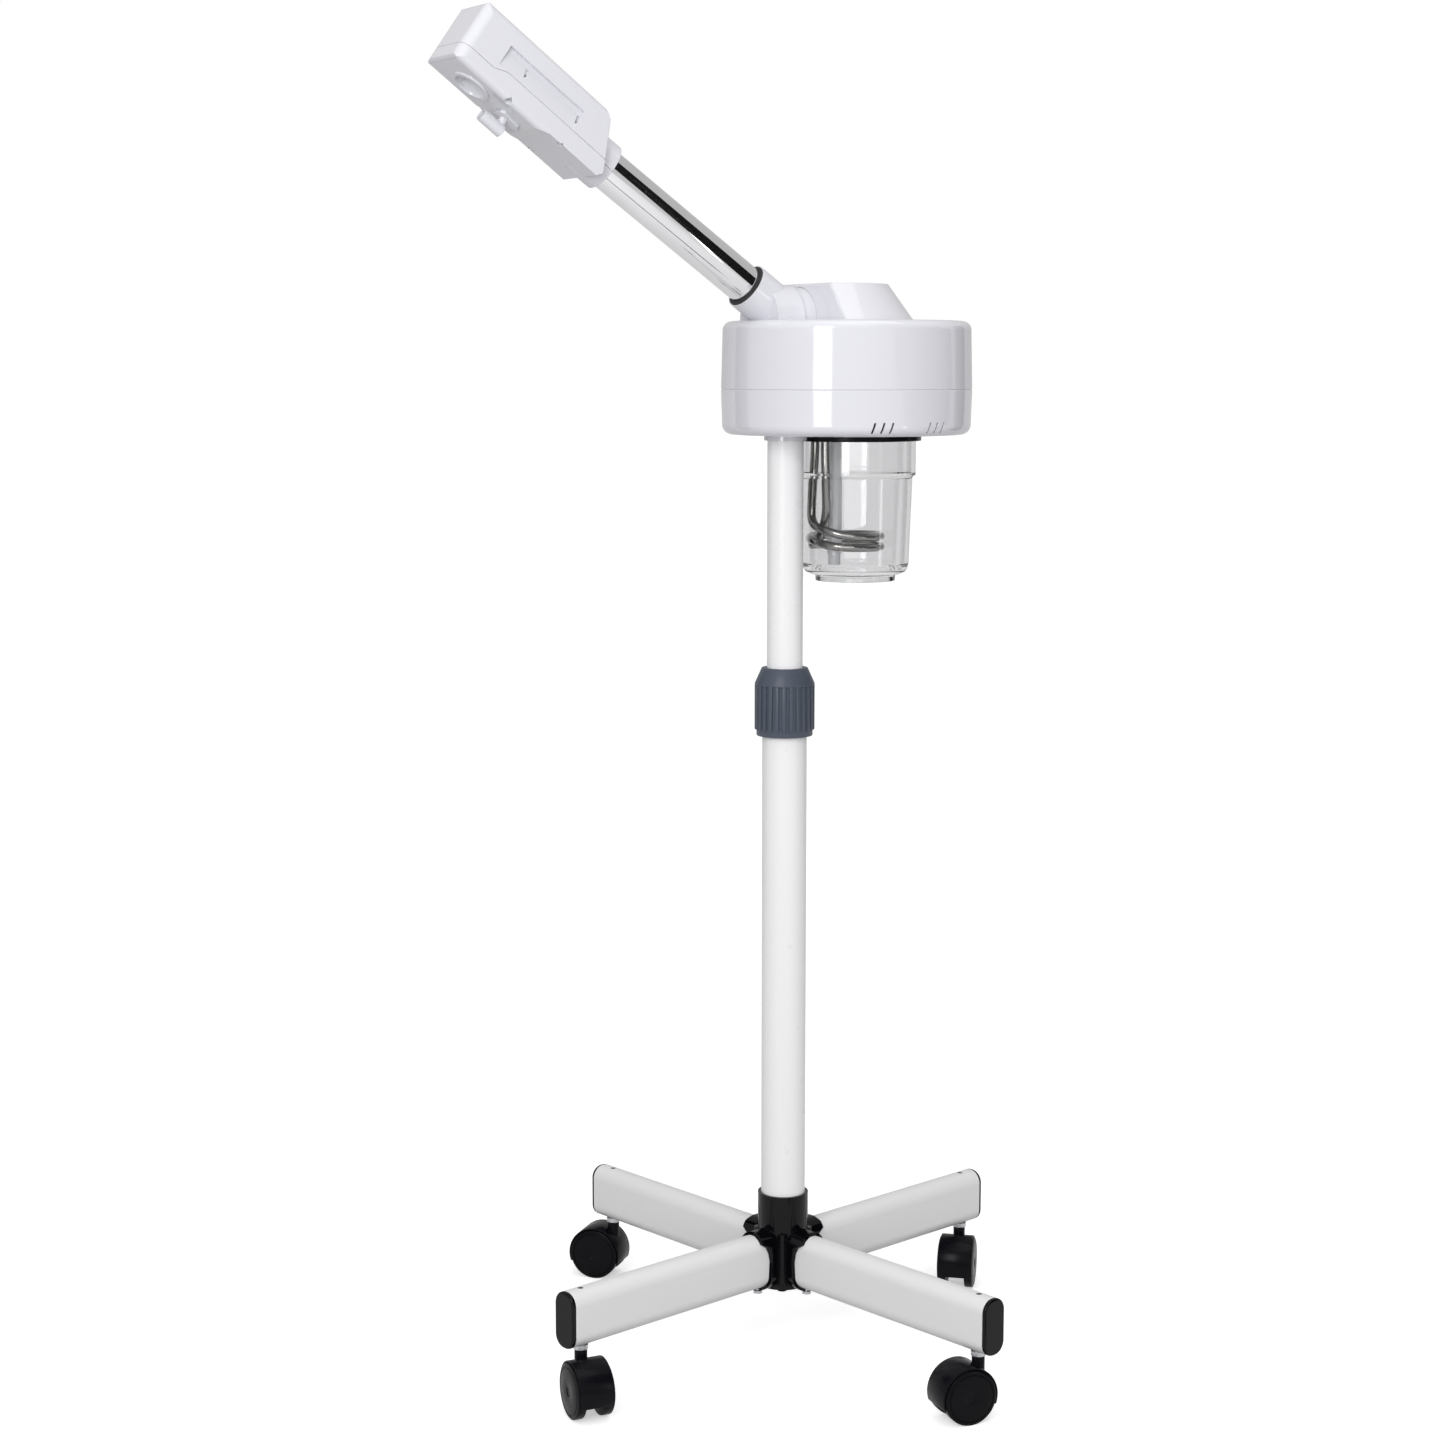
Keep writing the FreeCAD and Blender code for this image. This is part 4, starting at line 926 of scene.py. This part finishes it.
@dataclass
class ClampCollar:
    """Ribbed collar that locks the height: a cone, a ring of ribs and a low rim."""

    bore: float = 0.0162
    mast_bore: float = 0.0203
    throat: float = 0.0205
    shoulder: float = 0.0268
    body: float = 0.0252
    rib_reach: float = 0.0269
    rib_width: float = 0.0034
    ribs: int = 26
    cone: float = 0.0140
    rim: float = 0.0054
    lip: float = 0.0016
    throat_depth: float = 0.010
    edge: float = 0.0005
    rib_edge: float = 0.0006
    rib_drop: float = 0.0012
    rib_root: float = 0.001

    def build(self) -> None:
        """Make the collar."""
        low, high = (corner[2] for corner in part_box("clamp_collar"))
        shoulder = high - self.cone
        foot = low + self.rim
        shape = turned([
            (self.mast_bore, low), (self.body, low), (self.body, shoulder - self.lip),
            (self.shoulder, shoulder - self.lip), (self.shoulder, shoulder),
            (self.throat, high), (self.bore, high), (self.bore, high - self.throat_depth),
            (self.mast_bore, high - self.throat_depth),
        ], closed=True, steps=104)
        rounded(shape, self.edge, segments=2)
        rib = bmesh.new()
        bmesh.ops.create_cube(rib, size=1.0)
        height = shoulder - self.rib_drop - foot
        depth = self.rib_reach - self.body + self.rib_root
        bmesh.ops.scale(rib, vec=(depth, self.rib_width, height), verts=rib.verts)
        rounded(rib, self.rib_edge, segments=2)
        middle = Vector((self.rib_reach - depth / 2, 0.0, foot + height / 2))
        bmesh.ops.translate(rib, vec=middle, verts=rib.verts)
        spare = bpy.data.meshes.new("rib")
        for number in range(self.ribs):
            rib.to_mesh(spare)
            spare.transform(Matrix.Rotation(math.tau * number / self.ribs, 4, "Z"))
            shape.from_mesh(spare)
        rib.free()
        bpy.data.meshes.remove(spare)
        made = finished("collar", shape, "collar", COLLAR_GREY)
        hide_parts("clamp_collar")


@dataclass
class SteamArm:
    """Chrome tube between the housing and the head."""

    radius: float = 0.017
    wall: float = 0.0015
    edge: float = 0.0004

    def build(self) -> None:
        """Make the tube."""
        turn = joint_named("arm_turn")
        along, start = Vector(turn["axis"]).normalized(), Vector(turn["pos_m"])
        low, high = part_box("arm_tube")
        side = self.radius * along.z
        near = (start.x - high[0] + side) / -along.x
        far = (start.x - low[0] - side) / -along.x
        inner = self.radius - self.wall
        shape = turned([
            (inner, near), (self.radius, near), (self.radius, far), (inner, far),
        ], closed=True, steps=144)
        rounded(shape, self.edge, segments=2)
        shape.transform(standing(along, start))
        made = finished("arm_chrome", shape, "arm", CHROME)
        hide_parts("arm_tube")


@dataclass
class LegPlugs:
    """Small black plugs in the hole above each caster stem."""

    radius: float = 0.0026
    depth: float = 0.0012
    sunk: float = 0.0004
    dimple: float = 0.0004
    dimple_out: float = 0.6
    dimple_in: float = 0.5
    edge: float = 0.0002

    def build(self) -> None:
        """Make the four plugs."""
        for number in CORNERS:
            swivel = joint_named("caster_swivel_%d" % number)
            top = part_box("leg_%d" % number)[1][2] - self.sunk
            shape = turned([
                (0.0, top - self.depth), (self.radius, top - self.depth), (self.radius, top),
                (self.radius * self.dimple_out, top),
                (self.radius * self.dimple_in, top - self.dimple), (0.0, top - self.dimple),
            ], steps=32)
            rounded(shape, self.edge, segments=2)
            stem = Vector(swivel["pos_m"])
            shape.transform(Matrix.Translation((stem.x, stem.y, 0.0)))
            finished("leg_plug_%d" % number, shape, "stand", HUB_BLACK)


def dress_frame() -> None:
    """Give every CAD node the finish of its material slot."""
    for part in frame["record"]["subparts"]:
        piece = frame["nodes"][part["node"]]
        piece.data.materials.clear()
        piece.data.materials.append(FINISH_OF_SLOT[part["material_slot"]].material())


def main() -> None:
    """Dress the steamer and stand it in the studio."""
    logging.basicConfig(level=logging.INFO, format="%(message)s")
    dress_frame()
    for number in CORNERS:
        Caster(number).build()
    LegPlugs().build()
    ClampCollar().build()
    SteamArm().build()
    Studio().build()


if __name__ == "__main__":
    main()
